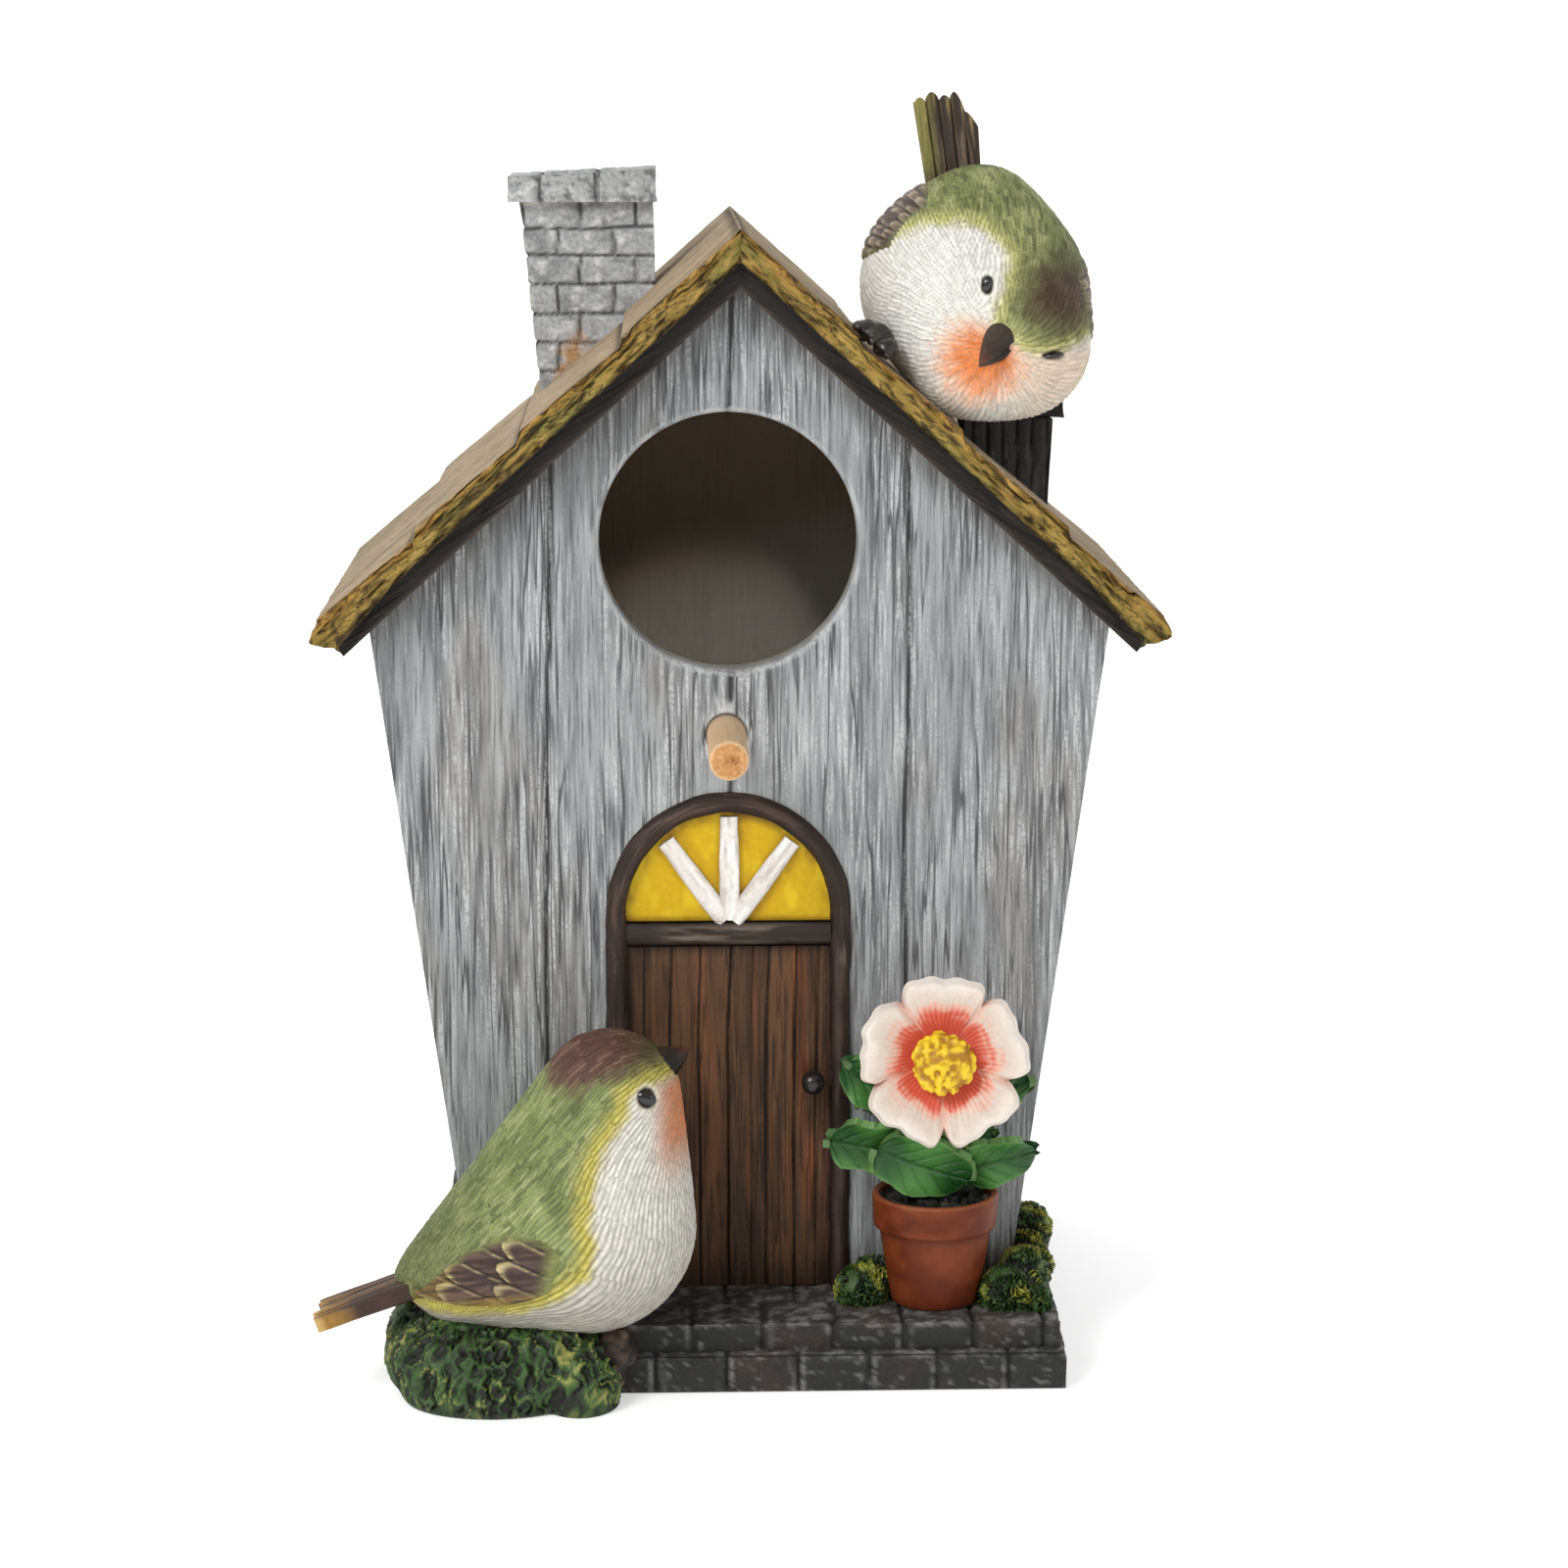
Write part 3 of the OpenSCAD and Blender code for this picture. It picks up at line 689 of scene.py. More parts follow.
def within(p):
    """1 on the walls' inner faces and 0 on the outer border, where the gables show their edges."""
    climb = (p[:, 2] - FOOT_Z) / (CORNER_Z - FOOT_Z)
    half = FOOT_HALF + (CORNER_X - FOOT_HALF) * np.clip(climb, 0, 1)
    return 1 - ramp(np.abs(p[:, 0]), half - 5 * MM, half - 3 * MM)


def arch_points(radius, bottom, turns=48):
    """The outline of the doorway: straight sides under a half circle."""
    ends = [(DOOR_X - radius, bottom), (DOOR_X + radius, bottom)]
    for step in range(turns + 1):
        angle = math.pi * step / turns
        ends.append((DOOR_X + radius * math.cos(angle), DOOR_ARCH_Z + radius * math.sin(angle)))
    return ends


def lip_profile(radius, roll, front, back):
    """A bore whose front edge rolls outwards over a quarter circle."""
    rows = [(radius, back)]
    for step in range(7):
        angle = math.pi / 2 * step / 6
        rows.append((radius + roll * (1 - math.cos(angle)), front + roll * (1 - math.sin(angle))))
    rows.append((radius + roll, front - 4 * MM))
    return rows


front_wall = cast_block(
    "weathered_front",
    (-CORNER_X - 1 * MM, FRONT_Y, FOOT_Z - 1 * MM),
    (CORNER_X + 1 * MM, FRONT_Y + WALL, APEX_Z + 1 * MM),
    (0.46 * MM, WALL, 2.6 * MM),
)
carve(front_wall, outline_block("cutter", GABLE, FRONT_Y - CLEAR, FRONT_Y + WALL + CLEAR), "INTERSECT")
doorway_points = arch_points(RECESS_R, FOOT_Z - 3 * MM)
carve(front_wall, outline_block("cutter", doorway_points, FRONT_Y - CLEAR, RECESS_Y))
entrance_lip = lip_profile(ENTRANCE_R, 1.3 * MM, FRONT_Y, FRONT_Y + WALL + CLEAR)
carve(front_wall, spun("cutter", entrance_lip, ENTRANCE))
carve(front_wall, spun("cutter", lip_profile(4 * MM, 0.5 * MM, FRONT_Y, FRONT_Y + 4 * MM), PERCH, 64))
p = points_of(front_wall)
depth, edge_depth = plank_depth(p[:, 0], p[:, 2], FRONT_EDGES, 31)
out = np.hypot(p[:, 0] - ENTRANCE[0], p[:, 2] - ENTRANCE[1])
perch_out = np.hypot(p[:, 0] - PERCH[0], p[:, 2] - PERCH[1])
near_front = 1 - ramp(p[:, 1], FRONT_Y + 1.2 * MM, FRONT_Y + 3.5 * MM)
calm = ramp(perch_out, 4.6 * MM, 6.5 * MM)
ring = 1 - ramp(np.abs(perch_out - 4.9 * MM), 0.1 * MM, 0.8 * MM)
p[:, 1] += near_front * (depth * (0.25 + 0.75 * calm) - 0.35 * MM * ring)
colour = wall_paint(p[:, 0], p[:, 2], edge_depth, 41)
lip = (1 - ramp(out, ENTRANCE_R + 0.5 * MM, ENTRANCE_R + 1.5 * MM)) * near_front
worn = ramp(rough(p, (3, 3, 3), 2, 49), 0.35, 0.6)
perch_rim = 1 - ramp(np.abs(perch_out - 4.8 * MM), 0.2 * MM, 0.8 * MM)
colour = coats(
    colour,
    ("b4b6b6", lip * (0.3 + 0.5 * worn)),
    ("d4d6d6", perch_rim * (0.35 + 0.5 * worn)),
)
arch_out = np.where(
    p[:, 2] > DOOR_ARCH_Z,
    np.hypot(p[:, 0] - DOOR_X, p[:, 2] - DOOR_ARCH_Z),
    np.abs(p[:, 0] - DOOR_X),
)
doorway = (1 - ramp(arch_out, 25 * MM, 28.5 * MM)) * (p[:, 2] < 122 * MM)
colour = mix(colour, ink("a4a6a7"), doorway * 0.5)
# Painted shade under the roof's eaves, along the wall's sloping top edges.
to_roof = APEX_Z - SLOPE * np.abs(p[:, 0]) - p[:, 2]
colour = mix(colour, ink("55524e"), (1 - ramp(to_roof, 1 * MM, 9 * MM)) * 0.5)
inside = ramp(p[:, 1], FRONT_Y + 1.8 * MM, FRONT_Y + 6 * MM)
colour = mix(colour, ink("8b8478"), inside * within(p))
lay_shares(front_wall, colour, near_front * (1 - 0.5 * lip))
move_points(front_wall, p)
place_piece(front_wall, board_paint, "board_resin", "front_wall")

rear_wall = cast_block(
    "weathered_rear",
    (-CORNER_X - 1 * MM, REAR_Y - WALL, FOOT_Z - 1 * MM),
    (CORNER_X + 1 * MM, REAR_Y, APEX_Z + 1 * MM),
    (0.62 * MM, WALL, 3.2 * MM),
)
CLEAN_Z = 52 * MM
CLEAN_R = 20 * MM
KEYHOLE_Z = 172 * MM
carve(rear_wall, outline_block("cutter", GABLE, REAR_Y - WALL - CLEAR, REAR_Y + CLEAR), "INTERSECT")
clean_out = ((CLEAN_R, REAR_Y - WALL - CLEAR), (CLEAN_R, REAR_Y + CLEAR))
carve(rear_wall, spun("cutter", clean_out, (0, CLEAN_Z), 96))
POCKET = (
    (-5 * MM, KEYHOLE_Z - 5 * MM), (5 * MM, KEYHOLE_Z - 5 * MM),
    (5 * MM, KEYHOLE_Z + 13 * MM), (-5 * MM, KEYHOLE_Z + 13 * MM),
)
carve(rear_wall, outline_block("cutter", POCKET, REAR_Y - 4 * MM, REAR_Y + CLEAR))
p = points_of(rear_wall)
depth, edge_depth = plank_depth(p[:, 0], p[:, 2], FRONT_EDGES, 57)
near_rear = ramp(p[:, 1], REAR_Y - 2 * MM, REAR_Y - 0.5 * MM)
flat = 1 - ramp(np.hypot(p[:, 0], p[:, 2] - CLEAN_Z - 5 * MM), 33 * MM, 36 * MM)
flat = np.maximum(flat, (np.abs(p[:, 0]) < 12 * MM) & (np.abs(p[:, 2] - 179 * MM) < 23 * MM))
p[:, 1] -= near_rear * depth * (1 - 0.92 * flat)
colour = wall_paint(p[:, 0], p[:, 2], edge_depth * (1 - flat), 43)
# Painted light inside the house: the rear wall's inner face is pale low down, where light through the
# entrance falls, and shades to dark brown higher up.
inner_painted_light = mix(ink("e6ddcb"), ink("947e64"), ramp(p[:, 2] - 0.3 * p[:, 0], 132 * MM, 168 * MM))
colour = mix(colour, inner_painted_light, (1 - near_rear) * within(p))
lay_shares(rear_wall, colour, np.maximum(near_rear, 1 - within(p)))
move_points(rear_wall, p)
place_piece(rear_wall, board_paint, "board_resin", "rear_wall")

for side, side_name in ((-1, "left"), (1, "right")):
    side_wall = cast_block(
        "weathered_" + side_name,
        (0, FRONT_Y + WALL, 0),
        (8.07 * MM, REAR_Y - WALL, 1),
        (8.07 * MM, 0.55 * MM, 1 / 52),
    )
    p = points_of(side_wall)
    inward = p[:, 0]
    top_x = CORNER_X - inward
    top_z = APEX_Z - SLOPE * top_x
    z = FOOT_Z + p[:, 2] * (top_z - FOOT_Z)
    outer = inward < 1 * MM
    x = FOOT_HALF + LEAN * (z - FOOT_Z) - inward
    depth, edge_depth = plank_depth(p[:, 1], z, SIDE_EDGES, 61 + side)
    x = np.where(outer, x - depth, x)
    places = np.stack([side * x, p[:, 1], z], 1)
    move_points(side_wall, places)
    colour = wall_paint(p[:, 1], z, edge_depth, 47 + side)
    colour = mix(colour, ink("a69c8c"), (~outer) * 1.0)
    lay_shares(side_wall, colour, outer * 1.0)
    face_outwards(side_wall)
    place_piece(side_wall, board_paint, "board_resin", side_name + "_wall")

# ---- Roof: two thick slabs of lapped boards with a mossy ochre front edge, and under each one a
# thin dark boarding glued to the walls' sloping tops.
RIDGE_Z = 233 * MM
SLAB = 7 * MM
BOARDING = 6 * MM
SLOPE_LENGTH = 1.356
SLAB_FRONT = -49 * MM
SLAB_REAR = 69 * MM
EAVE_X = 86 * MM
NOSE_X = 82.1 * MM
LAPS = (0, 23.4 * MM, 43.6 * MM, 64.6 * MM, 86 * MM)
FASCIA = ink("8c7434")
FASCIA_DARK = ink("1c1510")
ROOF_TOP = ink("a8947a")


def slope_grain(x, y, z):
    """Grain coordinates that run down a slope. The boards' layers drift a little on the way."""
    return np.stack([x * SLOPE_LENGTH, y, z - 0.3 * x], 1)


roof_paint = weathered(
    "mossy_roof_paint", ink("b39a5a"), ink("1d150d"), pitch=0.6 * MM, stretch=(0.3, 1, 1), own_grain=True,
    pale_share=0.5, line_share=0.8, roughness=0.8, bump=0.45 * MM, line_pitch=1.5 * MM,
)
dark_board_paint = weathered(
    "dark_boarding_paint", ink("4a4038"), ink("0c0a09"), pitch=1.2 * MM, stretch=(0.09, 1, 1), own_grain=True,
    pale_share=0.35, line_share=0.8, roughness=0.72, bump=0.35 * MM, line_pitch=4.0 * MM,
)
for side, side_name in ((-1, "left"), (1, "right")):
    slab = cast_block(
        "lapped_slab_" + side_name,
        (0, SLAB_FRONT, 0),
        (1, SLAB_REAR, 1),
        (1 / 190, 1.3 * MM, 1 / 12),
    )
    p = points_of(slab)
    t = p[:, 0]
    y = p[:, 1]
    n = p[:, 2]
    end_x = NOSE_X + (EAVE_X - NOSE_X) * ramp(n, 0.0, 0.75) - 1.6 * MM * ramp(n, 0.7, 1.0)
    end_x = end_x - 1.4 * MM * (1 - ramp(n, 0.0, 0.3))
    x = t * end_x
    spot = np.stack([x, y, n * SLAB], 1)
    ragged = 0.8 * MM * (rough(spot, (60, 7, 60), 2, 71 + side) - 0.5)
    board = np.searchsorted(LAPS[1:-1], x + ragged)
    start = np.asarray(LAPS)[board]
    finish = np.asarray(LAPS)[board + 1]
    share = np.clip((x - start) / (finish - start), 0, 1)
    top_drop = 1.9 * MM * (1 - share ** 0.8) * (board > 0) + 0.6 * MM * (1 - share) * (board == 0)
    lump = rough(spot, (9, 5, 3), 3, 77 + side)
    fine = rough(spot, (5, 1.6, 1.2), 3, 81 + side)
    front_gap = y - SLAB_FRONT
    rear_gap = SLAB_REAR - y
    worn_edge = 1 - ramp(front_gap, 0, 3.2 * MM)
    chip = rough(spot, (4.5, 4.5, 4.5), 3, 83 + side)
    top_drop += worn_edge * (0.5 * MM * ramp(lump, 0.35, 0.7) + 1.4 * MM * ramp(chip, 0.46, 0.6))
    top_drop += (1 - ramp(rear_gap, 0, 2.5 * MM)) * (0.3 + 2.0 * ramp(chip, 0.42, 0.6)) * MM
    top_drop += 0.6 * MM * (1 - lump) + 0.6 * MM * (1 - fine)
    droop = 0.9 + 2.2 * ramp(x, 66 * MM, 82 * MM)
    hang = droop * MM * (1 - ramp(front_gap, 1.5 * MM, 3.2 * MM)) * (1 - n) ** 2
    z = RIDGE_Z - SLAB * (1 - n) - SLOPE * x - top_drop * n ** 2 - hang
    thick_way = np.abs(n - 0.5) * 2
    crack = 1 - ramp(np.abs(rough(spot, (11, 3, 1.8), 2, 85 + side) - 0.5), 0.01, 0.05)
    face_in = 0.7 * MM * (1 - ramp(1 - thick_way, 0, 0.3)) + 1.1 * MM * (1 - fine) + 0.8 * MM * (1 - lump)
    face_in = face_in + 0.8 * MM * crack + 0.8 * MM * ramp(chip, 0.46, 0.62)
    is_front = front_gap < 0.1 * MM
    is_rear = rear_gap < 0.1 * MM
    y = np.where(is_front, y + face_in, np.where(is_rear, y - face_in, y))
    eave_in = (t > 0.999) * (0.9 * MM * (1 - fine) + 0.8 * MM * thick_way ** 2)
    x_out = x - eave_in
    places = np.stack([side * x_out, y, z], 1)
    move_points(slab, places)
    lay_grain(slab, slope_grain(x, p[:, 1], n * SLAB))
    edge_zone = np.where(n > 0.99, 1 - ramp(front_gap + 3 * MM * (fine - 0.5), 0.8 * MM, 3.5 * MM), 1.0)
    patch = rough(spot, (16, 9, 4), 3, 91 + side)
    fascia = coats(
        FASCIA,
        ("6c6a33", ramp(patch, 0.5, 0.7) * 0.8),
        ("a5762f", ramp(n + 0.3 * (lump - 0.5), 0.6, 0.95) * 0.6),
        (FASCIA_DARK, (1 - ramp(n, 0.0, 0.15)) * 0.5),
    )
    nick = rough(spot, (2.6, 1.6, 0.9), 3, 87 + side)
    pit = np.maximum(ramp(1 - nick, 0.54, 0.68), 0.9 * crack)
    fascia = coats(
        fascia,
        ("b08a48", ramp(nick, 0.55, 0.7) * 0.5),
        (FASCIA_DARK, pit * 0.85),
    )
    top = coats(
        ROOF_TOP,
        ("8b8060", ramp(patch, 0.45, 0.7) * 0.6),
        ("bda995", ramp(lump, 0.5, 0.8) * 0.6),
        ("6b5a45", ramp(1 - fine, 0.5, 0.7) * 0.6),
        (FASCIA_DARK, ramp(share, 0.0, 0.02) * (1 - ramp(share, 0.02, 0.1)) * 0.8),
    )
    colour = coats(
        top,
        (fascia, np.clip(edge_zone, 0, 1)),
        ("2a2019", (n < 0.01) * 0.8),
    )
    lay_shares(slab, colour, 0.45 + 0.45 * edge_zone)
    face_outwards(slab)
    place_piece(slab, roof_paint, "mossy_roof", "roof_slab_" + side_name)

    board_low, board_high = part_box("roof_boarding_" + side_name)
    x_top = max(abs(board_low.x), abs(board_high.x))
    under = cast_block(
        "dark_boarding_" + side_name,
        (0, -45.5 * MM, 0),
        (1, 66 * MM, 1),
        (1 / 120, 1.6 * MM, 1 / 5),
    )
    p = points_of(under)
    x_bottom = x_top - 2.9 * MM
    x = p[:, 0] * (x_bottom + (x_top - x_bottom) * p[:, 2])
    spot = np.stack([x, p[:, 1], p[:, 2] * BOARDING], 1)
    fine = rough(spot, (7, 1.6, 1.6), 3, 95 + side)
    z = RIDGE_Z - SLAB - BOARDING * (1 - p[:, 2]) - SLOPE * x
    y = p[:, 1] + np.where(p[:, 1] < -45.4 * MM, 0.9 * MM * (1 - fine), 0)
    move_points(under, np.stack([side * x, y, z], 1))
    lay_grain(under, slope_grain(x, p[:, 1], p[:, 2] * BOARDING))
    colour = mix(ink("1c1714"), ink("4e443b"), (1 - ramp(p[:, 2], 0.0, 0.16)) * 0.55)
    lay_shares(under, colour, np.full(len(p), 1.0))
    face_outwards(under)
    place_piece(under, dark_board_paint, "dark_boarding", "roof_boarding_" + side_name)

# ---- Chimney: one casting of five visible brick courses in pale stone paint, glued to the left
# slope, and a cap of three rough blocks with a shallow flue in its top.
STACK_TOP = 234.4 * MM
COURSES = tuple(z * MM for z in (228.9, 223.0, 216.9, 211.0, 204.8, 198.8, 192.8))
STONE = ink("a3a5a6")
STONE_PALE = ink("cbcccb")
STONE_DARK = ink("4b4c4e")
stone_paint = painted("chimney_stone_paint", 0.8, 0.9 * MM, speckle=0.3, bump=0.16 * MM)


def brick_relief(u, z, width, seed):
    """Depth of the mortar joints on a brick face: courses in z, upright joints that alternate."""
    spot = np.stack([u, z, u * 0], 1)
    sway = (ripple(spot, (11, 5, 1), seed) - 0.5) * 0.9 * MM
    gap = np.full(len(u), 1.0)
    for level in COURSES:
        gap = np.minimum(gap, np.abs(z + sway - level))
    row = np.searchsorted(-np.asarray(COURSES), -(z + sway))
    even = row % 2 == 0
    shift = np.where(even, 0.35, 0.18) * width
    across = u - shift + 0.4 * MM * (ripple(spot, (3, 3, 1), seed + 2) - 0.5)
    upright = np.abs(across % (0.44 * width))
    upright = np.minimum(upright, 0.44 * width - upright)
    gap = np.minimum(gap, upright)
    return 1 - ramp(gap, 0.1 * MM, 0.55 * MM), row


stack = cast_block("brick_stack", (0, 22 * MM, 0), (1, 46 * MM, 1), (1 / 44, 0.75 * MM, 1 / 64))
p = points_of(stack)
up = p[:, 2]
left_x = -42.1 * MM
right_x = -16.2 * MM
x_low = left_x + (right_x - left_x) * p[:, 0]
roof_z = RIDGE_Z - SLOPE * np.abs(x_low) - 3 * MM
z = roof_z + up * (STACK_TOP - roof_z)
x = x_low + (-3.4 * MM * (1 - p[:, 0]) - 0.7 * MM * p[:, 0]) * (z - 200 * MM) / (34.4 * MM)
x = np.clip(x, -46 * MM, 0)
places = np.stack([x, p[:, 1], z], 1)
move_points(stack, places)
n = facing_of(stack)
side_face = np.abs(n[:, 0]) > np.abs(n[:, 1])
u = np.where(side_face, p[:, 1] - 22 * MM, x - left_x)
joint, row = brick_relief(u, z, 27 * MM, 101)
stone = rough(places, (2.4, 2.4, 1.8), 3, 105)
level_face = np.abs(n[:, 2]) > 0.7
joint = np.where(level_face, 0, joint)
depth = 0.8 * MM * joint + 0.55 * MM * (1 - stone)
depth = np.where(level_face, 0, depth)
move_points(stack, places - n * depth[:, None])
tone = rough(places, (5, 5, 3), 3, 107)
colour = coats(
    STONE,
    (STONE_DARK, ramp(1 - tone, 0.5, 0.72) * 0.45),
    (STONE_PALE, ramp(stone, 0.55, 0.75) * 0.7),
    ("3a3b3c", joint * 0.75),
)
moss = (1 - ramp(z - roof_z, 4 * MM, 9 * MM)) * ramp(tone, 0.42, 0.55)
moss = moss * ramp(x, -41 * MM, -37 * MM) * (1 - ramp(x, -34 * MM, -29 * MM))
colour = mix(colour, ink("a4732a"), moss * 0.8)
lay_paint(stack, colour)
place_piece(stack, stone_paint, "chimney_stone", "chimney_stack")

cap = cast_block("block_cap", (0, 19.5 * MM, 0), (1, 48.5 * MM, 1), (1 / 54, 0.75 * MM, 1 / 12))
p = points_of(cap)
x = -48 * MM + 31.8 * MM * p[:, 0]
top_z = 240 * MM + 1.6 * MM * p[:, 0]
z = STACK_TOP + p[:, 2] * (top_z - STACK_TOP)
flue_x = np.minimum(ramp(x, -38.6 * MM, -37.6 * MM), 1 - ramp(x, -26.4 * MM, -25.4 * MM))
flue_y = np.minimum(ramp(p[:, 1], 26.4 * MM, 27.4 * MM), 1 - ramp(p[:, 1], 39.6 * MM, 40.6 * MM))
flue = flue_x * flue_y * (p[:, 2] > 0.99)
z -= flue * 3.2 * MM
places = np.stack([x, p[:, 1], z], 1)
move_points(cap, places)
n = facing_of(cap)
stone = rough(places, (3, 3, 2), 3, 111)
pit = ramp(rough(places, 1.3, 2, 113), 0.55, 0.75)
gap = np.minimum(np.abs(p[:, 0] - 0.22), np.abs(p[:, 0] - 0.6)) * 31.8 * MM
gap_y = np.minimum(np.abs(p[:, 1] - 29 * MM), np.abs(p[:, 1] - 39 * MM))
gap = np.where(np.abs(n[:, 0]) > 0.7, gap_y, gap)
joint = 1 - ramp(gap + 0.3 * MM * (stone - 0.5), 0.1 * MM, 0.8 * MM)
edge = 1 - ramp(np.minimum(p[:, 2], 1 - p[:, 2]) * 6 * MM, 0, 1.2 * MM)
depth = (0.9 * MM * joint + 0.7 * MM * (1 - stone) + 0.35 * MM * pit) * (1 - flue)
depth += 0.4 * MM * edge * ramp(stone, 0.4, 0.7) * (np.abs(n[:, 2]) < 0.7)
depth = np.where(n[:, 2] < -0.7, 0, depth)
move_points(cap, places - n * depth[:, None])
colour = coats(
    ink("a3a5a5"),
    (STONE_DARK, pit * 0.6),
    ("c8c9c8", ramp(stone, 0.5, 0.7) * 0.7 * (1 - pit)),
    ("3c3c3d", np.maximum(joint * 0.75, flue * 0.8)),
)
lay_paint(cap, colour)
place_piece(cap, stone_paint, "chimney_stone", "chimney_cap")

# ---- Stub chimney: a charcoal brick stub behind the roof bird with a slab cap under its breast,
# glued to the right slope. The bird rests on it.
stub_paint = painted("dark_brick_paint", 0.7, 0.8 * MM, speckle=0.35, bump=0.15 * MM)
stub_low, stub_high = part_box("stub_chimney")
stub = cast_block("ribbed_stub", (0, stub_low.y, 0), (1, stub_high.y, 1), (1 / 30, 0.65 * MM, 1 / 46))
p = points_of(stub)
x = stub_low.x + (stub_high.x - stub_low.x) * p[:, 0]
roof_z = RIDGE_Z - SLOPE * x - 3 * MM
z = roof_z + p[:, 2] * (stub_high.z - roof_z)
x -= 1.0 * MM * (1 - p[:, 2]) * (p[:, 0] > 0.5)
places = np.stack([x, p[:, 1], z], 1)
move_points(stub, places)
n = facing_of(stub)
level_face = np.abs(n[:, 2]) > 0.7
u = np.where(np.abs(n[:, 0]) > 0.7, p[:, 1], x)
rib = np.abs(((u + 0.5 * MM * ripple(places, (2, 2, 9), 117)) / (3.1 * MM)) % 1 - 0.5) * 2
grain = rough(places, (1.6, 1.6, 9), 3, 119)
depth = np.where(level_face, 0, 0.55 * MM * (1 - ramp(rib, 0.0, 0.4)) + 0.5 * MM * (1 - grain))
move_points(stub, places - n * depth[:, None])
colour = coats(
    ink("2b2a2a"),
    ("55534f", ramp(grain, 0.5, 0.75) * 0.7),
    ("0f0e0e", (1 - ramp(rib, 0.02, 0.25)) * 0.7),
)
lay_paint(stub, colour)
place_piece(stub, stub_paint, "dark_brick", "stub_chimney")

stub_top = cast_block(
    "slab_cap",
    tuple(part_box("stub_cap")[0]),
    tuple(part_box("stub_cap")[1]),
    (0.7 * MM, 0.7 * MM, 0.6 * MM),
)
p = points_of(stub_top)
n = facing_of(stub_top)
grain = rough(p, 2.5, 3, 123)
move_points(stub_top, p - n * (0.9 * MM * (1 - grain))[:, None])
lay_paint(stub_top, mix(ink("1e1d1c"), ink("4b4641"), ramp(grain, 0.5, 0.8)))
place_piece(stub_top, stub_paint, "dark_brick", "stub_cap")

# ---- Perch: an 8 mm dowel of plain light wood, glued into the wall below the entrance. Its end
# shows darker end grain inside a turned edge.
dowel_wood = weathered(
    "dowel_wood", ink("e6cba8"), ink("8a6238"), pitch=0.8 * MM, stretch=(1, 0.06, 1),
    pale_share=0.35, line_share=0.25, roughness=0.55, bump=0.08 * MM,
)
PERCH_TIP = -66 * MM
perch_rows = [(3.5 * MM, -30 * MM), (3.5 * MM, -34 * MM), (3.97 * MM, -34.05 * MM)]
for step in range(1, 16):
    perch_rows.append((3.97 * MM, -34.05 * MM - step * 2.05 * MM))
perch_rows += [
    (3.93 * MM, PERCH_TIP + 0.6 * MM), (3.8 * MM, PERCH_TIP + 0.3 * MM), (3.55 * MM, PERCH_TIP + 0.1 * MM),
    (3.2 * MM, PERCH_TIP), (2.4 * MM, PERCH_TIP), (1.6 * MM, PERCH_TIP), (0.8 * MM, PERCH_TIP),
    (0.1 * MM, PERCH_TIP),
]
perch = spun("dowel_perch", perch_rows, PERCH, 72)
p = points_of(perch)
from_axis = np.hypot(p[:, 0] - PERCH[0], p[:, 2] - PERCH[1])
blot = rough(p, 2.6, 3, 131)
wood = mix(ink("c9a47a"), ink("dcc09c"), rough(p, (2, 25, 2), 2, 133))
end_grain = mix(ink("b9854f"), ink("93582a"), ramp(blot, 0.45, 0.65))
colour = coats(
    wood,
    (end_grain, (p[:, 1] < PERCH_TIP + 0.2 * MM) * (1 - ramp(from_axis, 3.2 * MM, 3.8 * MM))),
    ("8d7862", ramp(p[:, 1], -40 * MM, -36 * MM) * 0.6),
)
lay_shares(perch, colour, np.ones(len(p)))
place_piece(perch, dowel_wood, "dowel_wood", "perch")

# ---- Door: an arched moulding, a plank door, a lintel rail and a yellow fanlight with three pale
# bars, all cast and painted, glued into the wall's recess. The knob is a black bead.
ARCH_IN = 20.8 * MM
FRAME_W = 4.2 * MM
JAMB = DOOR_ARCH_Z - FOOT_Z
ARC_LENGTH = math.pi * (ARCH_IN + FRAME_W / 2)
frame_length = 2 * JAMB + ARC_LENGTH
moulding = cast_block(
    "arched_moulding",
    (0, 0, 0),
    (frame_length, 3.7 * MM, FRAME_W),
    (1.2 * MM, 1.85 * MM, FRAME_W / 10),
)
p = points_of(moulding)
u = p[:, 0]
v = p[:, 2]
spot = np.stack([u, v, p[:, 1]], 1)
grain = rough(spot, (9, 1.3, 3), 3, 141)
dent = rough(spot, (5, 4, 4), 2, 143)
angle = math.pi * (1 - np.clip((u - JAMB) / ARC_LENGTH, 0, 1))
radius = ARCH_IN + v + 0.5 * MM * (dent - 0.5)
x = DOOR_X + radius * np.cos(angle)
rise = np.where(u < JAMB, u - JAMB, np.where(u > JAMB + ARC_LENGTH, JAMB + ARC_LENGTH - u, 0))
z = DOOR_ARCH_Z + radius * np.sin(angle) + rise
bulge = np.sqrt(np.clip(1 - (2 * v / FRAME_W - 1) ** 2, 0, 1))
front = p[:, 1] > 1.0 * MM
y = -34.5 * MM - np.where(front, p[:, 1] * (0.45 + 0.55 * bulge) - 0.5 * MM * (1 - grain), 0)
move_points(moulding, np.stack([x, y, z], 1))
lay_grain(moulding, spot)
shine = ramp(bulge, 0.75, 1.0) * ramp(grain, 0.45, 0.7)
colour = coats(
    ink("2a1e19"),
    ("574238", shine * 0.6),
    ("7b6a60", ramp(dent, 0.66, 0.8) * shine * 0.5),
    ("130d0b", (1 - ramp(v, 0, 0.8 * MM)) * 0.7),
)
lay_shares(moulding, colour, np.ones(len(p)))
frame_paint = weathered(
    "door_frame_paint", ink("6a5548"), ink("0e0a08"), pitch=1.0 * MM, stretch=(0.08, 1, 1), own_grain=True,
    pale_share=0.3, line_share=0.6, roughness=0.55, bump=0.2 * MM,
)
face_outwards(moulding)
place_piece(moulding, frame_paint, "door_frame_paint", "door_frame")

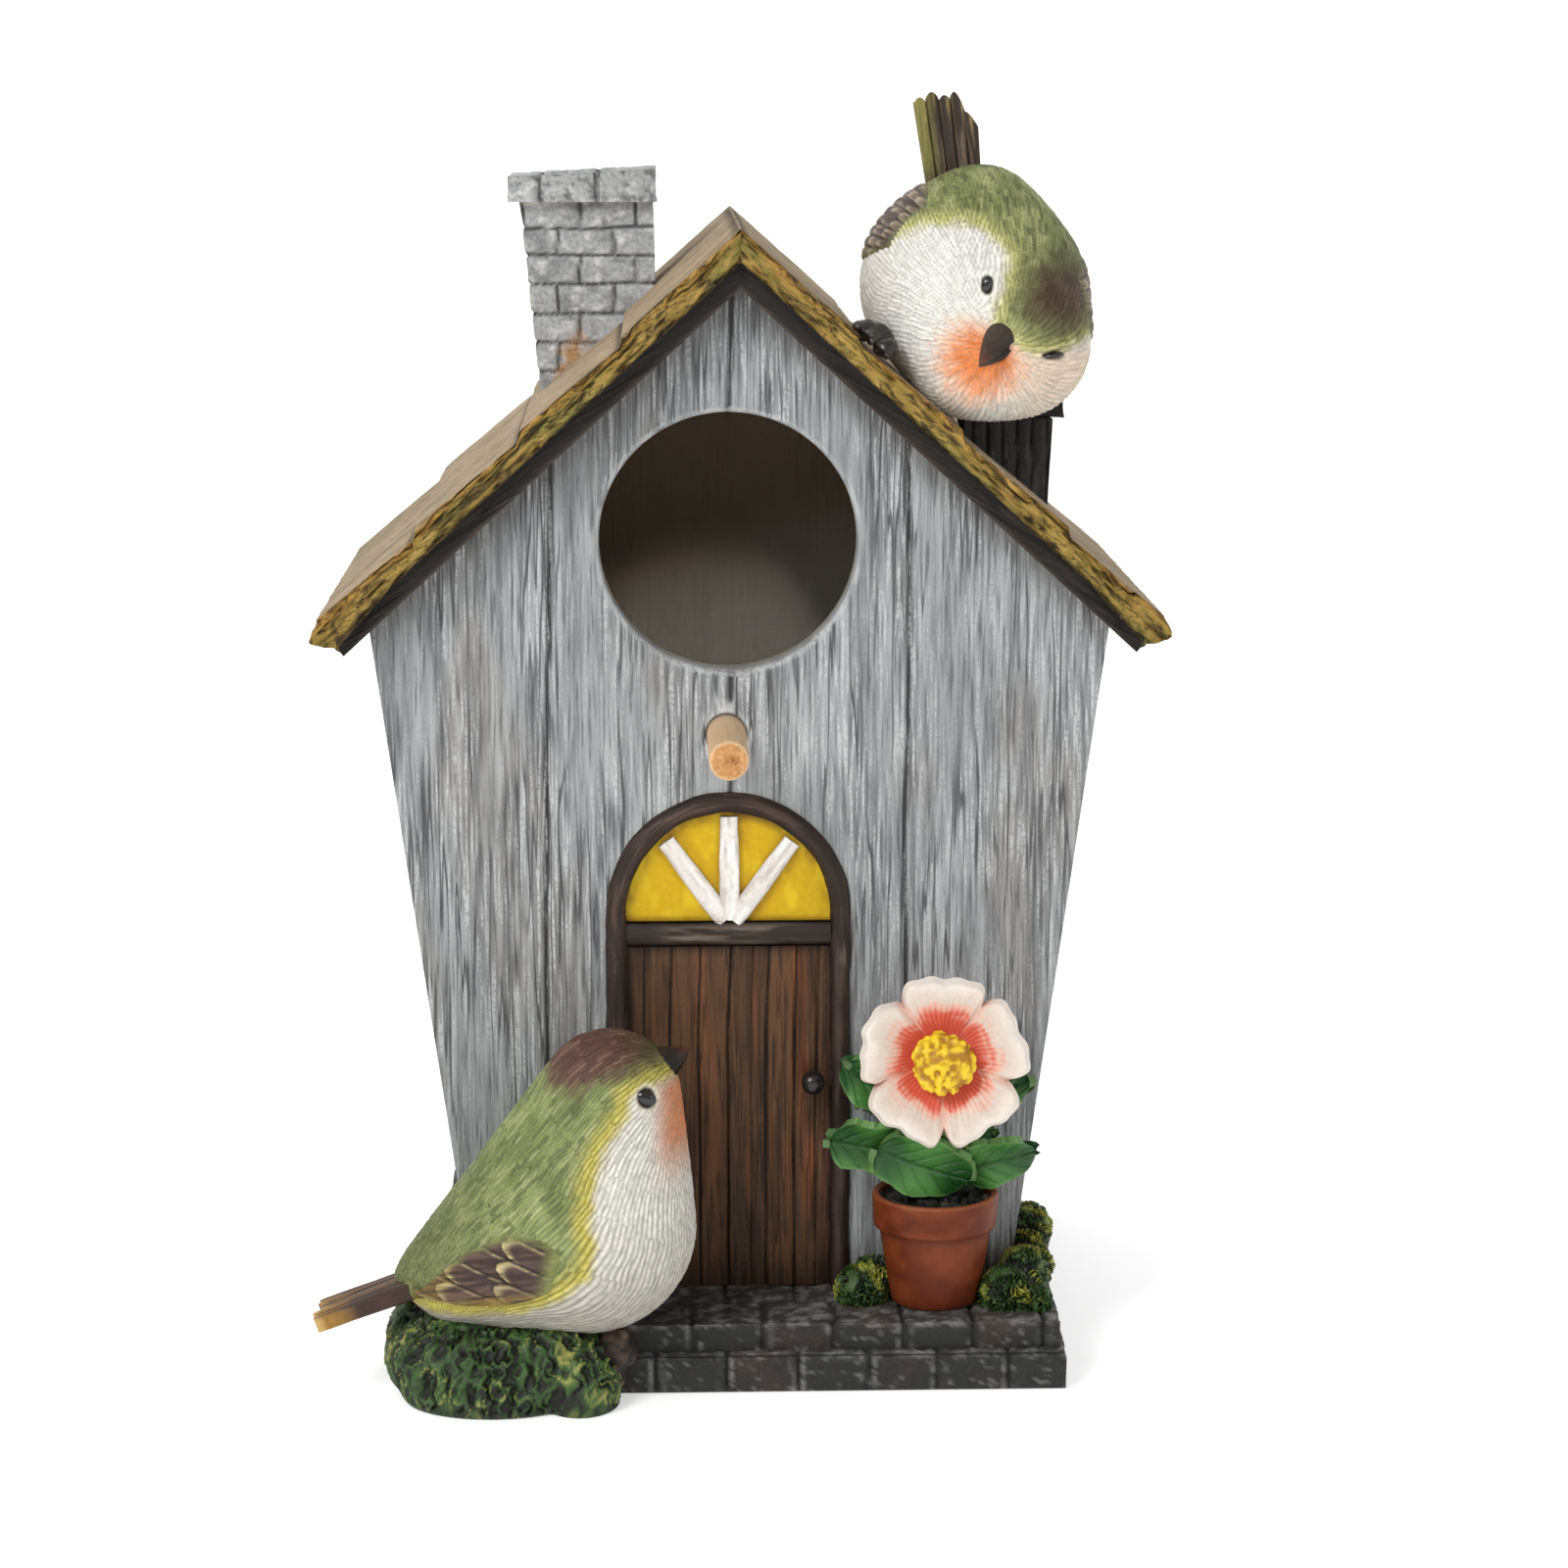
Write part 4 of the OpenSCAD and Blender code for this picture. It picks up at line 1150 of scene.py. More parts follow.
PANEL_EDGES = (
    (-19.6, 0.0, 0.5, 0.5), (-14.2, 0.004, 0.5, 0.55), (-8.4, 0.0, 0.5, 0.5), (-2.2, 0.004, 0.5, 0.6),
    (2.3, 0.0, 0.35, 0.35), (5.6, 0.004, 0.5, 0.55), (11.2, 0.0, 0.5, 0.55), (15.6, 0.0, 0.4, 0.4),
)
panel = cast_block(
    "plank_door",
    (DOOR_X - ARCH_IN - 0.2 * MM, -35.6 * MM, FOOT_Z),
    (DOOR_X + ARCH_IN + 0.2 * MM, RECESS_Y, 87 * MM),
    (0.26 * MM, 1.6 * MM, 1.7 * MM),
)
p = points_of(panel)
depth, edge_depth = plank_depth(p[:, 0], p[:, 2], PANEL_EDGES, 151)
is_front = p[:, 1] < -34.8 * MM
spot = np.stack([p[:, 0], p[:, 0] * 0, p[:, 2]], 1)
fine = rough(spot, (0.9, 1, 14), 2, 153)
plank_no = np.searchsorted([e[0] * MM for e in PANEL_EDGES], p[:, 0])
tone = cell_share(plank_no, plank_no * 0, plank_no * 0, 155)
streak = rough(spot, (1.6, 1, 20), 3, 157)
p[:, 1] += is_front * (0.8 * depth + 0.12 * MM * (1 - fine))
colour = mix(ink("46301f"), ink("654327"), np.clip(tone * 0.6 + streak * 0.6 - 0.1, 0, 1))
right = ramp(p[:, 0], 9 * MM, 15 * MM)
glow = right * ramp(streak, 0.42, 0.7) + 0.35 * ramp(streak, 0.6, 0.8)
colour = coats(
    colour,
    ("8a4a26", np.clip(glow, 0, 1) * 0.75),
    ("27190f", ramp(1 - fine, 0.45, 0.7) * 0.55),
    ("0d0806", ramp(edge_depth, 0.1 * MM, 0.45 * MM) * 0.95),
)
# Painted shade along the sides and top of the recess; the door also darkens towards its foot.
shade_in = np.minimum(p[:, 0] - (DOOR_X - ARCH_IN), (DOOR_X + ARCH_IN) - p[:, 0])
shade_in = np.minimum(shade_in, 86.5 * MM - p[:, 2])
colour = coats(
    colour,
    ("120b08", (1 - ramp(shade_in, 0.2 * MM, 3.0 * MM)) * 0.75),
    ("1c120c", (1 - ramp(p[:, 2], FOOT_Z, FOOT_Z + 9 * MM)) * 0.6),
)
lay_shares(panel, colour, np.full(len(p), 0.8))
move_points(panel, p)
door_paint = weathered(
    "door_paint", ink("7d6045"), ink("150d08"), pitch=0.5 * MM, stretch=(1, 1, 0.05),
    pale_share=0.3, line_share=0.75, roughness=0.6, bump=0.18 * MM, line_pitch=2.2 * MM,
)
place_piece(panel, door_paint, "door_paint", "door_panel")

lintel = cast_block(
    "lintel_rail",
    (DOOR_X - ARCH_IN - 0.1 * MM, -37 * MM, 86.1 * MM),
    (DOOR_X + ARCH_IN + 0.1 * MM, RECESS_Y, 91.2 * MM),
    (0.7 * MM, 0.6 * MM, 0.5 * MM),
)
p = points_of(lintel)
across = np.abs(p[:, 2] - 88.65 * MM) / (2.55 * MM)
is_front = p[:, 1] < -36.9 * MM
grain = rough(p, (9, 2, 1.1), 3, 161)
p[:, 1] += is_front * (1.0 * MM * across ** 3 + 0.5 * MM * (1 - grain))
middle = (1 - ramp(np.abs(p[:, 0] - DOOR_X), 8 * MM, 17 * MM)) * ramp(grain, 0.4, 0.65) * (1 - across ** 2)
colour = coats(
    ink("2b1f19"),
    ("7c6d60", middle * 0.75),
    ("0f0a08", across ** 4 * 0.8),
)
lay_shares(lintel, colour, np.full(len(p), 0.7))
lay_grain(lintel, p)
move_points(lintel, p)
place_piece(lintel, frame_paint, "door_frame_paint", "door_lintel")

PANE_Z = 91 * MM
pane = cast_block(
    "yellow_fanlight",
    (DOOR_X - ARCH_IN - 0.3 * MM, -35 * MM, PANE_Z),
    (DOOR_X + ARCH_IN + 0.3 * MM, RECESS_Y, DOOR_ARCH_Z + ARCH_IN + 0.3 * MM),
    (0.5 * MM, 1 * MM, 0.5 * MM),
)
pane_points = arch_points(ARCH_IN + 0.15 * MM, PANE_Z - 3 * MM)
carve(pane, outline_block("cutter", pane_points, -40 * MM, -30 * MM), "INTERSECT")
p = points_of(pane)
HUB = (-2.4 * MM, 90.2 * MM)
BAR_TURNS = (-36, 0, 36)
amber = np.zeros(len(p))
for turn in BAR_TURNS:
    lean = math.radians(turn)
    along = (p[:, 0] - HUB[0]) * math.sin(lean) + (p[:, 2] - HUB[1]) * math.cos(lean)
    beside = (p[:, 0] - HUB[0]) * math.cos(lean) - (p[:, 2] - HUB[1]) * math.sin(lean)
    near_bar = 1 - ramp(np.abs(beside - 0.7 * MM), 2.0 * MM, 4.4 * MM)
    amber = np.maximum(amber, near_bar * ramp(along, 0, 2 * MM) * (0.9 if turn == 0 else 0.5))
blot = rough(p, (3.5, 3.5, 6), 3, 165)
rim = ramp(np.hypot(p[:, 0] - DOOR_X, p[:, 2] - DOOR_ARCH_Z), 18.6 * MM, 20.6 * MM)
colour = coats(
    ink("c49f02"),
    ("a97b06", amber * ramp(blot, 0.3, 0.6)),
    ("7a5608", rim * ramp(blot, 0.35, 0.65) * 0.7),
    ("dcc01e", ramp(1 - blot, 0.5, 0.75) * (1 - amber) * 0.6),
    ("96700c", (1 - ramp(p[:, 2], PANE_Z + 0.4 * MM, PANE_Z + 1.6 * MM)) * 0.7),
)
lay_paint(pane, colour)
fanlight_paint = painted("fanlight_paint", 0.42, 1.4 * MM, speckle=0.08, bump=0.06 * MM, sheen=0.25)
place_piece(pane, fanlight_paint, "fanlight_paint", "fanlight_pane")



def join_all(name, parts):
    """Joins parts into one named piece."""
    clear_selection()
    for part in parts:
        part.select_set(True)
    bpy.context.view_layer.objects.active = parts[0]
    bpy.ops.object.join()
    return name_new(name)


bar_paint = painted("bar_paint", 0.7, 0.9 * MM, speckle=0.12, bump=0.12 * MM)
BAR_W = 4.4 * MM
bars = []
for number, (turn, length) in enumerate(zip(BAR_TURNS, (22.0 * MM, 23.0 * MM, 22.0 * MM))):
    bar = cast_block(
        "glazing_bar_%d" % number,
        (-BAR_W / 2, -36.7 * MM - (0.1 * MM if turn == 0 else 0), 1.2 * MM),
        (BAR_W / 2, -34.9 * MM, length),
        (0.4 * MM, 0.45 * MM, 0.6 * MM),
    )
    p = points_of(bar)
    n = facing_of(bar)
    off = np.abs(p[:, 0]) / (BAR_W / 2)
    grain = rough(p + number * 0.02, (0.8, 0.8, 6), 3, 171)
    chip = rough(p + number * 0.02, 2.2, 2, 173)
    shape = p - n * (0.28 * MM * (1 - grain) + 0.3 * MM * (1 - chip))[:, None]
    shape[:, 1] += (p[:, 1] < -36 * MM) * 0.55 * MM * off ** 4
    shape[:, 0] *= 1 - 0.10 * ramp(p[:, 2], length * 0.5, length)
    lean = math.radians(turn)
    x = HUB[0] + shape[:, 0] * math.cos(lean) + shape[:, 2] * math.sin(lean)
    z = HUB[1] - shape[:, 0] * math.sin(lean) + shape[:, 2] * math.cos(lean)
    colour = coats(
        ink("dcd6d0"),
        ("b3a79c", ramp(1 - grain, 0.5, 0.75) * 0.7),
        ("f0eeea", ramp(grain, 0.55, 0.75) * 0.8),
        ("8f8172", off ** 6 * 0.5),
    )
    lay_paint(bar, colour)
    move_points(bar, np.stack([x, shape[:, 1], z], 1))
    bars.append(bar)
glazing_bars = join_all("fanlight_bars", bars)
place_piece(glazing_bars, bar_paint, "bar_paint", "glazing_bars")

black_gloss = painted("black_paint", 0.3, 1.2 * MM, speckle=0.3, bump=0.05 * MM, sheen=0.6)
knob_rows = (
    (1.3, -34.6), (1.3, -36.3), (1.6, -36.7), (2.1, -37.3), (2.38, -38.2), (2.4, -39.0), (2.3, -39.8),
    (2.0, -40.5), (1.5, -41.0), (0.9, -41.3), (0.3, -41.38),
)
knob = spun("door_knob_bead", [(r * MM, y * MM) for r, y in knob_rows], (14.6 * MM, 57.8 * MM), 40)
lay_paint(knob, np.tile(ink("17130f"), (len(knob.data.vertices), 1)))
place_piece(knob, black_gloss, "black_paint", "door_knob")

# ---- Low bird: a cast songbird glued to the mound and the plinth, white below, green above, with
# a maroon cap. Its feathers are short strokes that run back from the beak in lapped bands.
BIRD_NET = 0.42 * MM
FEATHER_DEPTH = 0.27 * MM
FEATHER_BANDS = ((0.0, 44), (8.0, 74), (14.0, 100), (20.0, 122), (27.0, 140), (35.0, 154), (45.0, 160))


def soft_body(name, balls, grip, voxel):
    """One smooth skin stretched over several balls, remeshed to an even net."""
    clear_selection()
    bpy.ops.mesh.primitive_ico_sphere_add(subdivisions=6, radius=1)
    piece = name_new(name)
    way = points_of(piece)
    way = way / np.linalg.norm(way, axis=1)[:, None]
    centre = np.asarray([b[0] for b in balls]) * MM
    radius = np.asarray([b[1] for b in balls]) * MM
    reach = way @ centre.T + radius
    weight = np.exp((reach - reach.max(axis=1)[:, None]) / grip)
    weight = weight / weight.sum(axis=1)[:, None]
    move_points(piece, weight @ centre + way * (weight @ radius)[:, None])
    modify(piece, "REMESH", mode="VOXEL", voxel_size=voxel)
    modify(piece, "SMOOTH", iterations=6)
    return piece


def feather_strokes(p, beak, tail, seed, lean=0.012):
    """Feather strokes round the line from beak to tail. Returns each point's stroke height from 0
    to 1, and coordinates that follow the strokes for the material."""
    beak = np.asarray(beak) * MM
    axis = np.asarray(tail) * MM - beak
    axis = axis / np.linalg.norm(axis)
    side = np.cross(axis, (0, 0, 1))
    side = side / np.linalg.norm(side)
    up = np.cross(side, axis)
    from_beak = p - beak
    distance = np.linalg.norm(from_beak, axis=1) / MM
    turn = np.arctan2(from_beak @ side, from_beak @ up)
    wander = (rough(p, 9, 2, seed) - 0.5) * 0.12 + lean * distance
    count = np.zeros(len(p))
    band = np.zeros(len(p))
    shake = 5.0 * (rough(p, 3.2, 2, seed + 1) - 0.5)
    for start, strokes in FEATHER_BANDS:
        passed = distance + shake > start
        count = np.where(passed, strokes, count)
        band = np.where(passed, band + 1, band)
    u = (turn + wander) / (2 * math.pi) * count
    cell = np.floor(u).astype(np.int64)
    offset = cell_share(cell, band.astype(np.int64), cell * 0, seed + 3)
    length = distance / 2.8 + offset
    part = np.floor(length).astype(np.int64)
    tone = cell_share(cell, part, band.astype(np.int64), seed + 5)
    across = np.abs(u - cell - 0.5) * 2
    along = length - part
    stroke = (1 - ramp(across, 0.15, 1.0)) * (0.55 + 0.45 * ramp(along, 0, 0.35)) * (0.55 + 0.45 * tone)
    stroke = stroke * (1 - 0.5 * ramp(along, 0.85, 1.0))
    follow = np.stack([distance * MM, u * 1.1 * MM, band * 0.01], 1)
    return stroke, tone, follow


def inside_by(x, z, outline):
    """How far inside a closed outline drawn in X and Z each point is; below 0 outside it."""
    outline = np.asarray(outline) * MM
    ends = np.roll(outline, -1, axis=0)
    nearest = np.full(len(x), 9.0)
    inside = np.zeros(len(x), bool)
    for (ax, az), (bx, bz) in zip(outline, ends):
        wx, wz = bx - ax, bz - az
        share = np.clip(((x - ax) * wx + (z - az) * wz) / (wx * wx + wz * wz), 0, 1)
        nearest = np.minimum(nearest, np.hypot(x - ax - share * wx, z - az - share * wz))
        crosses = (az > z) != (bz > z)
        step = np.where(crosses, (z - az) / (bz - az if bz != az else 1e-9), 0)
        inside ^= crosses & (x < ax + step * wx)
    return np.where(inside, nearest, -nearest)


def feathered(name, roughness=0.62):
    """Matt paint over engraved feathers: a fine hatch that follows the strokes."""
    material, tree, shader = new_material(name, roughness)
    hatch = shade_noise(tree, own_place(tree), (0.16, 1, 1), 1 / (0.55 * MM), 2)
    speck = shade_noise(tree, object_place(tree), (1, 1, 1), 1 / (0.7 * MM), 3)
    hatch = shade_math(tree, "MULTIPLY", hatch, 0.7)
    both = shade_math(tree, "ADD", hatch, shade_math(tree, "MULTIPLY", speck, 0.3))
    spread = shade_ramp(tree, both, 0.3, 0.7, 0.74, 1.2)
    tint_base(tree, shader, paint_layer(tree).outputs["Color"], spread)
    raise_relief(tree, shader, both, 0.7, 0.14 * MM)
    shader.inputs["Specular IOR Level"].default_value = 0.3
    return material


def lay_on(piece, skin, start, way, core, lift):
    """Lays a flat net onto a body's skin: each point is sent from start along way, and rests lift
    above the place it meets, measured away from the body's core line."""
    places = np.empty((len(start), 3))
    for i in range(len(start)):
        hit, _, _, _ = skin.ray_cast(Vector(start[i]), Vector(way[i]))
        if hit is None:
            hit, _, _, _ = skin.find_nearest(Vector(start[i]))
        places[i] = hit
    first = np.asarray(core[0]) * MM
    run = np.asarray(core[1]) * MM - first
    share = np.clip((places - first) @ run / (run @ run), 0, 1)
    outward = places - first - share[:, None] * run
    outward = outward / np.linalg.norm(outward, axis=1)[:, None]
    move_points(piece, places + outward * lift[:, None])


def skin_of(body):
    """The body's smooth skin, to lay wings on before the feathers are cut."""
    return BVHTree.FromObject(body, bpy.context.evaluated_depsgraph_get())


def flat_net(name, columns, rows):
    """A flat net from 0 to 1 across and up."""
    clear_selection()
    bpy.ops.mesh.primitive_grid_add(
        x_subdivisions=columns, y_subdivisions=rows, size=1, location=(0.5, 0.5, 0)
    )
    piece = name_new(name)
    apply_all(piece)
    return piece


def thicken(piece, depth):
    """Gives a net a back face this far inside it."""
    modify(piece, "SOLIDIFY", thickness=depth, offset=-1)


def close_back(piece, depth):
    """Softens a laid net, gives it a back inside the body and turns its faces outwards."""
    modify(piece, "SMOOTH", iterations=1)
    face_outwards(piece)
    thicken(piece, depth)
    face_outwards(piece)


def feather_rows(s, v, ends, width, skew, seed):
    """Lapped long feathers on a wing: s along it and v across it, in millimetres. Returns the
    relief from 0 to 1, how close each point is to a pale feather edge, the painted shade at each
    row's start under the lapped row before it, the grooves between feathers, and a tone per feather."""
    w = (v + skew * s) / width
    feather = np.floor(w).astype(np.int64)
    part = w - feather
    arc = 0.7 * width * (4 * (part - 0.5) ** 2)
    jag = 1.6 * (cell_share(feather, feather * 0, feather * 0, seed) - 0.5)
    reach = s + arc + jag
    row = np.searchsorted(np.asarray(ends), reach)
    ends_all = np.asarray(tuple(ends) + (ends[-1] + 12.0,))
    starts_all = np.concatenate([[0.0], ends_all[:-1]])
    left = ends_all[np.minimum(row, len(ends_all) - 1)] - reach
    into = reach - starts_all[np.minimum(row, len(ends_all) - 1)]
    groove = 1 - ramp(np.minimum(part, 1 - part) * width, 0.05, 0.5)
    lift = 0.35 + 0.65 * ramp(into, 0, 6.0)
    shade = 1 - ramp(into, 0, 1.6)
    pale = np.maximum(1 - ramp(left, 0.6, 2.6), 0.8 - ramp((1 - part) * width, 0.3, 0.9))
    tone = cell_share(feather, row, row * 0, seed + 2)
    return lift - 0.55 * groove, pale * (1 - groove), shade, groove, tone


LOW_Y = -60.2
LOW_BALLS = (
    ((-31.5, LOW_Y, 35), 22), ((-26.8, LOW_Y, 60.3), 14.6),
    ((-56, LOW_Y, 26.2), 12), ((-66, LOW_Y, 24.5), 4.5),
)
plumage_paint = feathered("plumage_paint")
low_bird = soft_body("low_songbird", LOW_BALLS, 0.9 * MM, BIRD_NET)
low_skin = skin_of(low_bird)
LOW_CORE = ((-31.5, LOW_Y, 35), (-56, LOW_Y, 26.2))
p = points_of(low_bird)
x, y, z = p[:, 0], p[:, 1], p[:, 2]
stroke, tone, follow = feather_strokes(p, (-14.5, LOW_Y, 67), (-70, LOW_Y, 20), 201)
WHITE_SIDE = (
    (-15.5, 67.0), (-19.0, 66.8), (-22.4, 65.0), (-23.6, 61.5), (-27.0, 56.5), (-30.0, 50.2), (-31.0, 42.0),
    (-29.8, 36.0), (-31.5, 31.0), (-36.5, 26.0), (-45.0, 21.6), (-56.0, 20.2), (-68.0, 20.0), (-68.0, 5.0),
    (0.0, 5.0), (0.0, 67.0),
)
MAROON_CAP = (
    (-41.0, 71.0), (-38.5, 66.6), (-33.0, 65.6), (-28.5, 68.2), (-23.5, 69.0), (-17.5, 69.6), (-13.5, 72.0),
    (-8.0, 82.0), (-41.0, 82.0),
)
white_by = inside_by(x, z, WHITE_SIDE) + (rough(p, 2.2, 2, 203) - 0.5) * 1.8 * MM
cap_by = inside_by(x, z, MAROON_CAP) + (rough(p, 1.8, 2, 205) - 0.5) * 3.0 * MM
patch = rough(p, (7, 7, 7), 3, 207)
green = coats(
    ink("76824e"),
    ("8e9860", ramp(patch, 0.4, 0.65)),
    ("4f5835", ramp(tone, 0.62, 0.95) * 0.6),
    ("b3b584", ramp(1 - tone, 0.72, 0.95) * 0.5),
    ("5d623c", (1 - ramp(x, -66 * MM, -44 * MM)) * 0.6),
)
# The white greys towards the bottom: painted shade under the belly.
white = coats(
    ink("cdcac0"),
    ("e4e1d9", ramp(stroke, 0.2, 0.8)),
    ("8f8a7c", (1 - ramp(z, 13 * MM, 44 * MM)) * 0.75),
)
yellow = mix(ink("b3a63c"), ink("cfc56c"), ramp(stroke, 0.2, 0.8))
colour = coats(
    green,
    (yellow, ramp(white_by, -5.0 * MM, -0.6 * MM) * 0.9),
    (white, ramp(white_by, -0.8 * MM, 2.2 * MM)),
)
orange_share = ramp(x, -19.5 * MM, -13.8 * MM) * ramp(z, 44 * MM, 57 * MM)
orange_share = orange_share * (1 - ramp(z, 66.5 * MM, 68.5 * MM)) * ramp(white_by, -1 * MM, 3 * MM)
colour = mix(colour, ink("cf7022"), orange_share * (0.6 + 0.4 * stroke))
maroon = coats(
    ink("5d4038"),
    ("7a5d50", ramp(tone, 0.5, 1.0)),
    ("4b4a2c", ramp(x, -26 * MM, -18 * MM) * 0.7),
)
colour = mix(colour, maroon, ramp(cap_by, -2.6 * MM, 2.2 * MM))
EYE = (-19.5 * MM, -71.6 * MM, 64.0 * MM)
for eye_side in (1, -1):
    eye_y = LOW_Y * MM + eye_side * (EYE[1] - LOW_Y * MM)
    off = np.sqrt((x - EYE[0]) ** 2 + (y - eye_y) ** 2 + (z - EYE[2]) ** 2)
    colour = coats(
        colour,
        ("e2dcc4", (1 - ramp(off, 2.3 * MM, 3.4 * MM)) * 0.6),
        ("2a211c", 1 - ramp(off, 1.9 * MM, 2.5 * MM)),
    )
hollow = np.sqrt((x - EYE[0]) ** 2 + (np.abs(y - LOW_Y * MM) - 11.4 * MM) ** 2 + (z - EYE[2]) ** 2)
calm = ramp(hollow, 2.4 * MM, 4.2 * MM)
# Painted shade in the grooves between the feather strokes.
crease_shade = np.where(white_by > 1.5 * MM, 0.7, 0.6)[:, None]
colour = mix(colour * crease_shade, colour, ramp(stroke, 0.0, 0.4))
n = facing_of(low_bird)
depth = (FEATHER_DEPTH * (1 - stroke)) * calm + 0.35 * MM * (1 - ramp(hollow, 1.6 * MM, 3.2 * MM))
move_points(low_bird, p - n * depth[:, None])
lay_paint(low_bird, colour)
lay_grain(low_bird, follow)

# The wings lie flush on the flanks: lapped brown feathers with cream tips
wing_paint = feathered("wing_paint", 0.55)
SHOULDER = (-37.0, 30.0)
WING_LENGTH = 31.0
WING_THICK = 1.6 * MM
WING_TURN = math.radians(192)


def to_rim(q):
    """How far each point of a wing's flat net is from its rim, roughly in millimetres."""
    along = np.minimum(q[:, 0], 1 - q[:, 0]) * 12
    return np.minimum(along, np.minimum(q[:, 1], 1 - q[:, 1]) * 7)


def flank_wing(name, far_side):
    """One of the low bird's wings, laid on the flank that faces the given way."""
    wing = flat_net(name, 110, 70)
    q = points_of(wing)
    s = q[:, 0] * WING_LENGTH
    half_up = 10.8 * np.sin(np.clip(q[:, 0] * 1.06 + 0.06, 0, 1) ** 0.8 * math.pi) ** 0.7
    half_down = 5.6 * np.sin(np.clip(q[:, 0] * 1.02 + 0.02, 0, 1) ** 0.7 * math.pi) ** 0.8
    w = np.where(q[:, 1] > 0.5, (q[:, 1] - 0.5) * 2 * half_up, (q[:, 1] - 0.5) * 2 * half_down)
    away_x, away_z = math.cos(WING_TURN), math.sin(WING_TURN)
    x = SHOULDER[0] + s * away_x + w * 0.2
    z = SHOULDER[1] + s * away_z + w
    relief, pale, shade, groove, tone = feather_rows(s, w, (12.5, 24.0), 4.6, -0.5, 221)
    rim = to_rim(q)
    lift = (0.15 + 0.95 * relief * ramp(rim, 0, 1.2) - 0.6 * (1 - ramp(rim, 0, 0.7))) * MM
    start = np.stack([x * MM, np.full(len(q), far_side * 0.05 + LOW_Y * MM), z * MM], 1)
    way = np.tile((0.0, -far_side, 0.0), (len(q), 1))
    lay_on(wing, low_skin, start, way, LOW_CORE, lift)
    streak = rough(np.stack([s * MM, w * MM, s * 0], 1), (7, 0.7, 1), 2, 223)
    brown = coats(
        ink("3b2b28"),
        ("5f4a42", ramp(streak, 0.35, 0.7) * (0.5 + 0.5 * tone)),
        ("1c1413", np.clip(shade * 0.5 + groove * 0.7, 0, 1)),
    )
    cream = mix(ink("b79f62"), ink("ddd1a0"), streak)
    share_pale = np.clip(pale, 0, 1) * (0.45 + 0.55 * ramp(w, -2.0, 3.0)) * ramp(streak, 0.2, 0.55)
    colour = mix(brown, cream, share_pale * 0.8)
    ochre = np.maximum(1 - ramp(w, -4.0, -1.0), ramp(s, 19.0, 26.0) * 0.7) * ramp(streak, 0.2, 0.6)
    colour = coats(
        colour,
        ("8f7634", ochre * 0.75),
        ("7d8450", (1 - ramp(rim + 1.2 * (streak - 0.5), 0.1, 1.0)) * 0.8),
    )
    front = (1 - ramp(s, 1.0, 5.0))
    colour = mix(colour, ink("7f874e"), front * 0.85)
    lay_paint(wing, colour)
    lay_grain(wing, np.stack([s * MM, w * MM, s * 0], 1))
    close_back(wing, WING_THICK)
    return wing


wing_near = flank_wing("low_wing_towards_front", -1)
wing_far = flank_wing("low_wing_towards_wall", 1)
place_piece(low_bird, plumage_paint, "plumage", "low_bird_body")
place_piece(wing_near, wing_paint, "flight_feathers", "low_bird_wing_near")
place_piece(wing_far, wing_paint, "flight_feathers", "low_bird_wing_far")


def fan_tail(name, base, tip, base_half, tip_half, thick_base, thick_tip, across, seed, short_side=0.0):
    """A tail of long feathers side by side, between two places given in millimetres. Those
    towards the far side of across may be shorter by a share."""
    tail = cast_block(name, (0, -1, -1), (1, 1, 1), (1 / 64, 1 / 40, 1 / 3))
    q = points_of(tail)
    base = np.asarray(base, float)
    tip = np.asarray(tip, float)
    along = (tip - base) / np.linalg.norm(tip - base)
    across = np.asarray(across, float)
    across = across - along * (across @ along)
    across = across / np.linalg.norm(across)
    up = np.cross(along, across)
    t = q[:, 0]
    half = base_half + (tip_half - base_half) * t
    thick = thick_base + (thick_tip - thick_base) * t
    cell = np.floor((q[:, 1] + 1) * 2.5 - 1e-6).astype(np.int64)
    part = (q[:, 1] + 1) * 2.5 - cell
    jag = cell_share(cell, cell * 0, cell * 0, seed) * 0.07
    end = 1 - 0.05 * (2 * part - 1) ** 2 - jag - short_side * ramp(q[:, 1], 0.25, 1.0)
    groove = 1 - ramp(np.minimum(part, 1 - part), 0.01, 0.13)
    groove = groove * (np.abs(q[:, 1]) < 0.97)
    follow = np.stack([t * 20 * MM, q[:, 1] * half * MM, q[:, 2] * 0], 1)
    barbs = rough(follow, (9, 0.7, 1), 2, seed + 1)
    edge = np.abs(q[:, 1]) ** 6
    thick = thick * (1 - 0.2 * groove - 0.35 * edge) + 0.3 * barbs
    place = base + along * (t * end * np.linalg.norm(tip - base))[:, None]
    place = place + across * (q[:, 1] * half)[:, None] + up * (q[:, 2] * thick)[:, None]
    move_points(tail, place * MM)
    face_outwards(tail)
    lay_grain(tail, follow)
    return tail, t, groove, barbs, q


low_tail, t, groove, barbs, q = fan_tail(
    "low_tail_feathers", (-62, LOW_Y, 24.4), (-86.0, LOW_Y, 15.9), 5.2, 6.9, 2.2, 1.5, (0, 1, 0), 231
)
colour = coats(
    ink("3f2d24"),
    ("6b4e36", ramp(barbs, 0.4, 0.7)),
    ("96702f", ramp(t, 0.6, 0.95) * ramp(barbs, 0.3, 0.6)),
    ("c8a468", ramp(t, 0.93, 0.99) * ramp(barbs, 0.3, 0.6) * 0.8),
    ("1a120e", groove * 0.75),
)
lay_paint(low_tail, colour)
place_piece(low_tail, wing_paint, "flight_feathers", "low_bird_tail")

# Beaks and eyes are small glossy beads set into the heads
beak_paint = painted("beak_paint", 0.45, 0.8 * MM, speckle=0.3, bump=0.05 * MM, sheen=0.3)


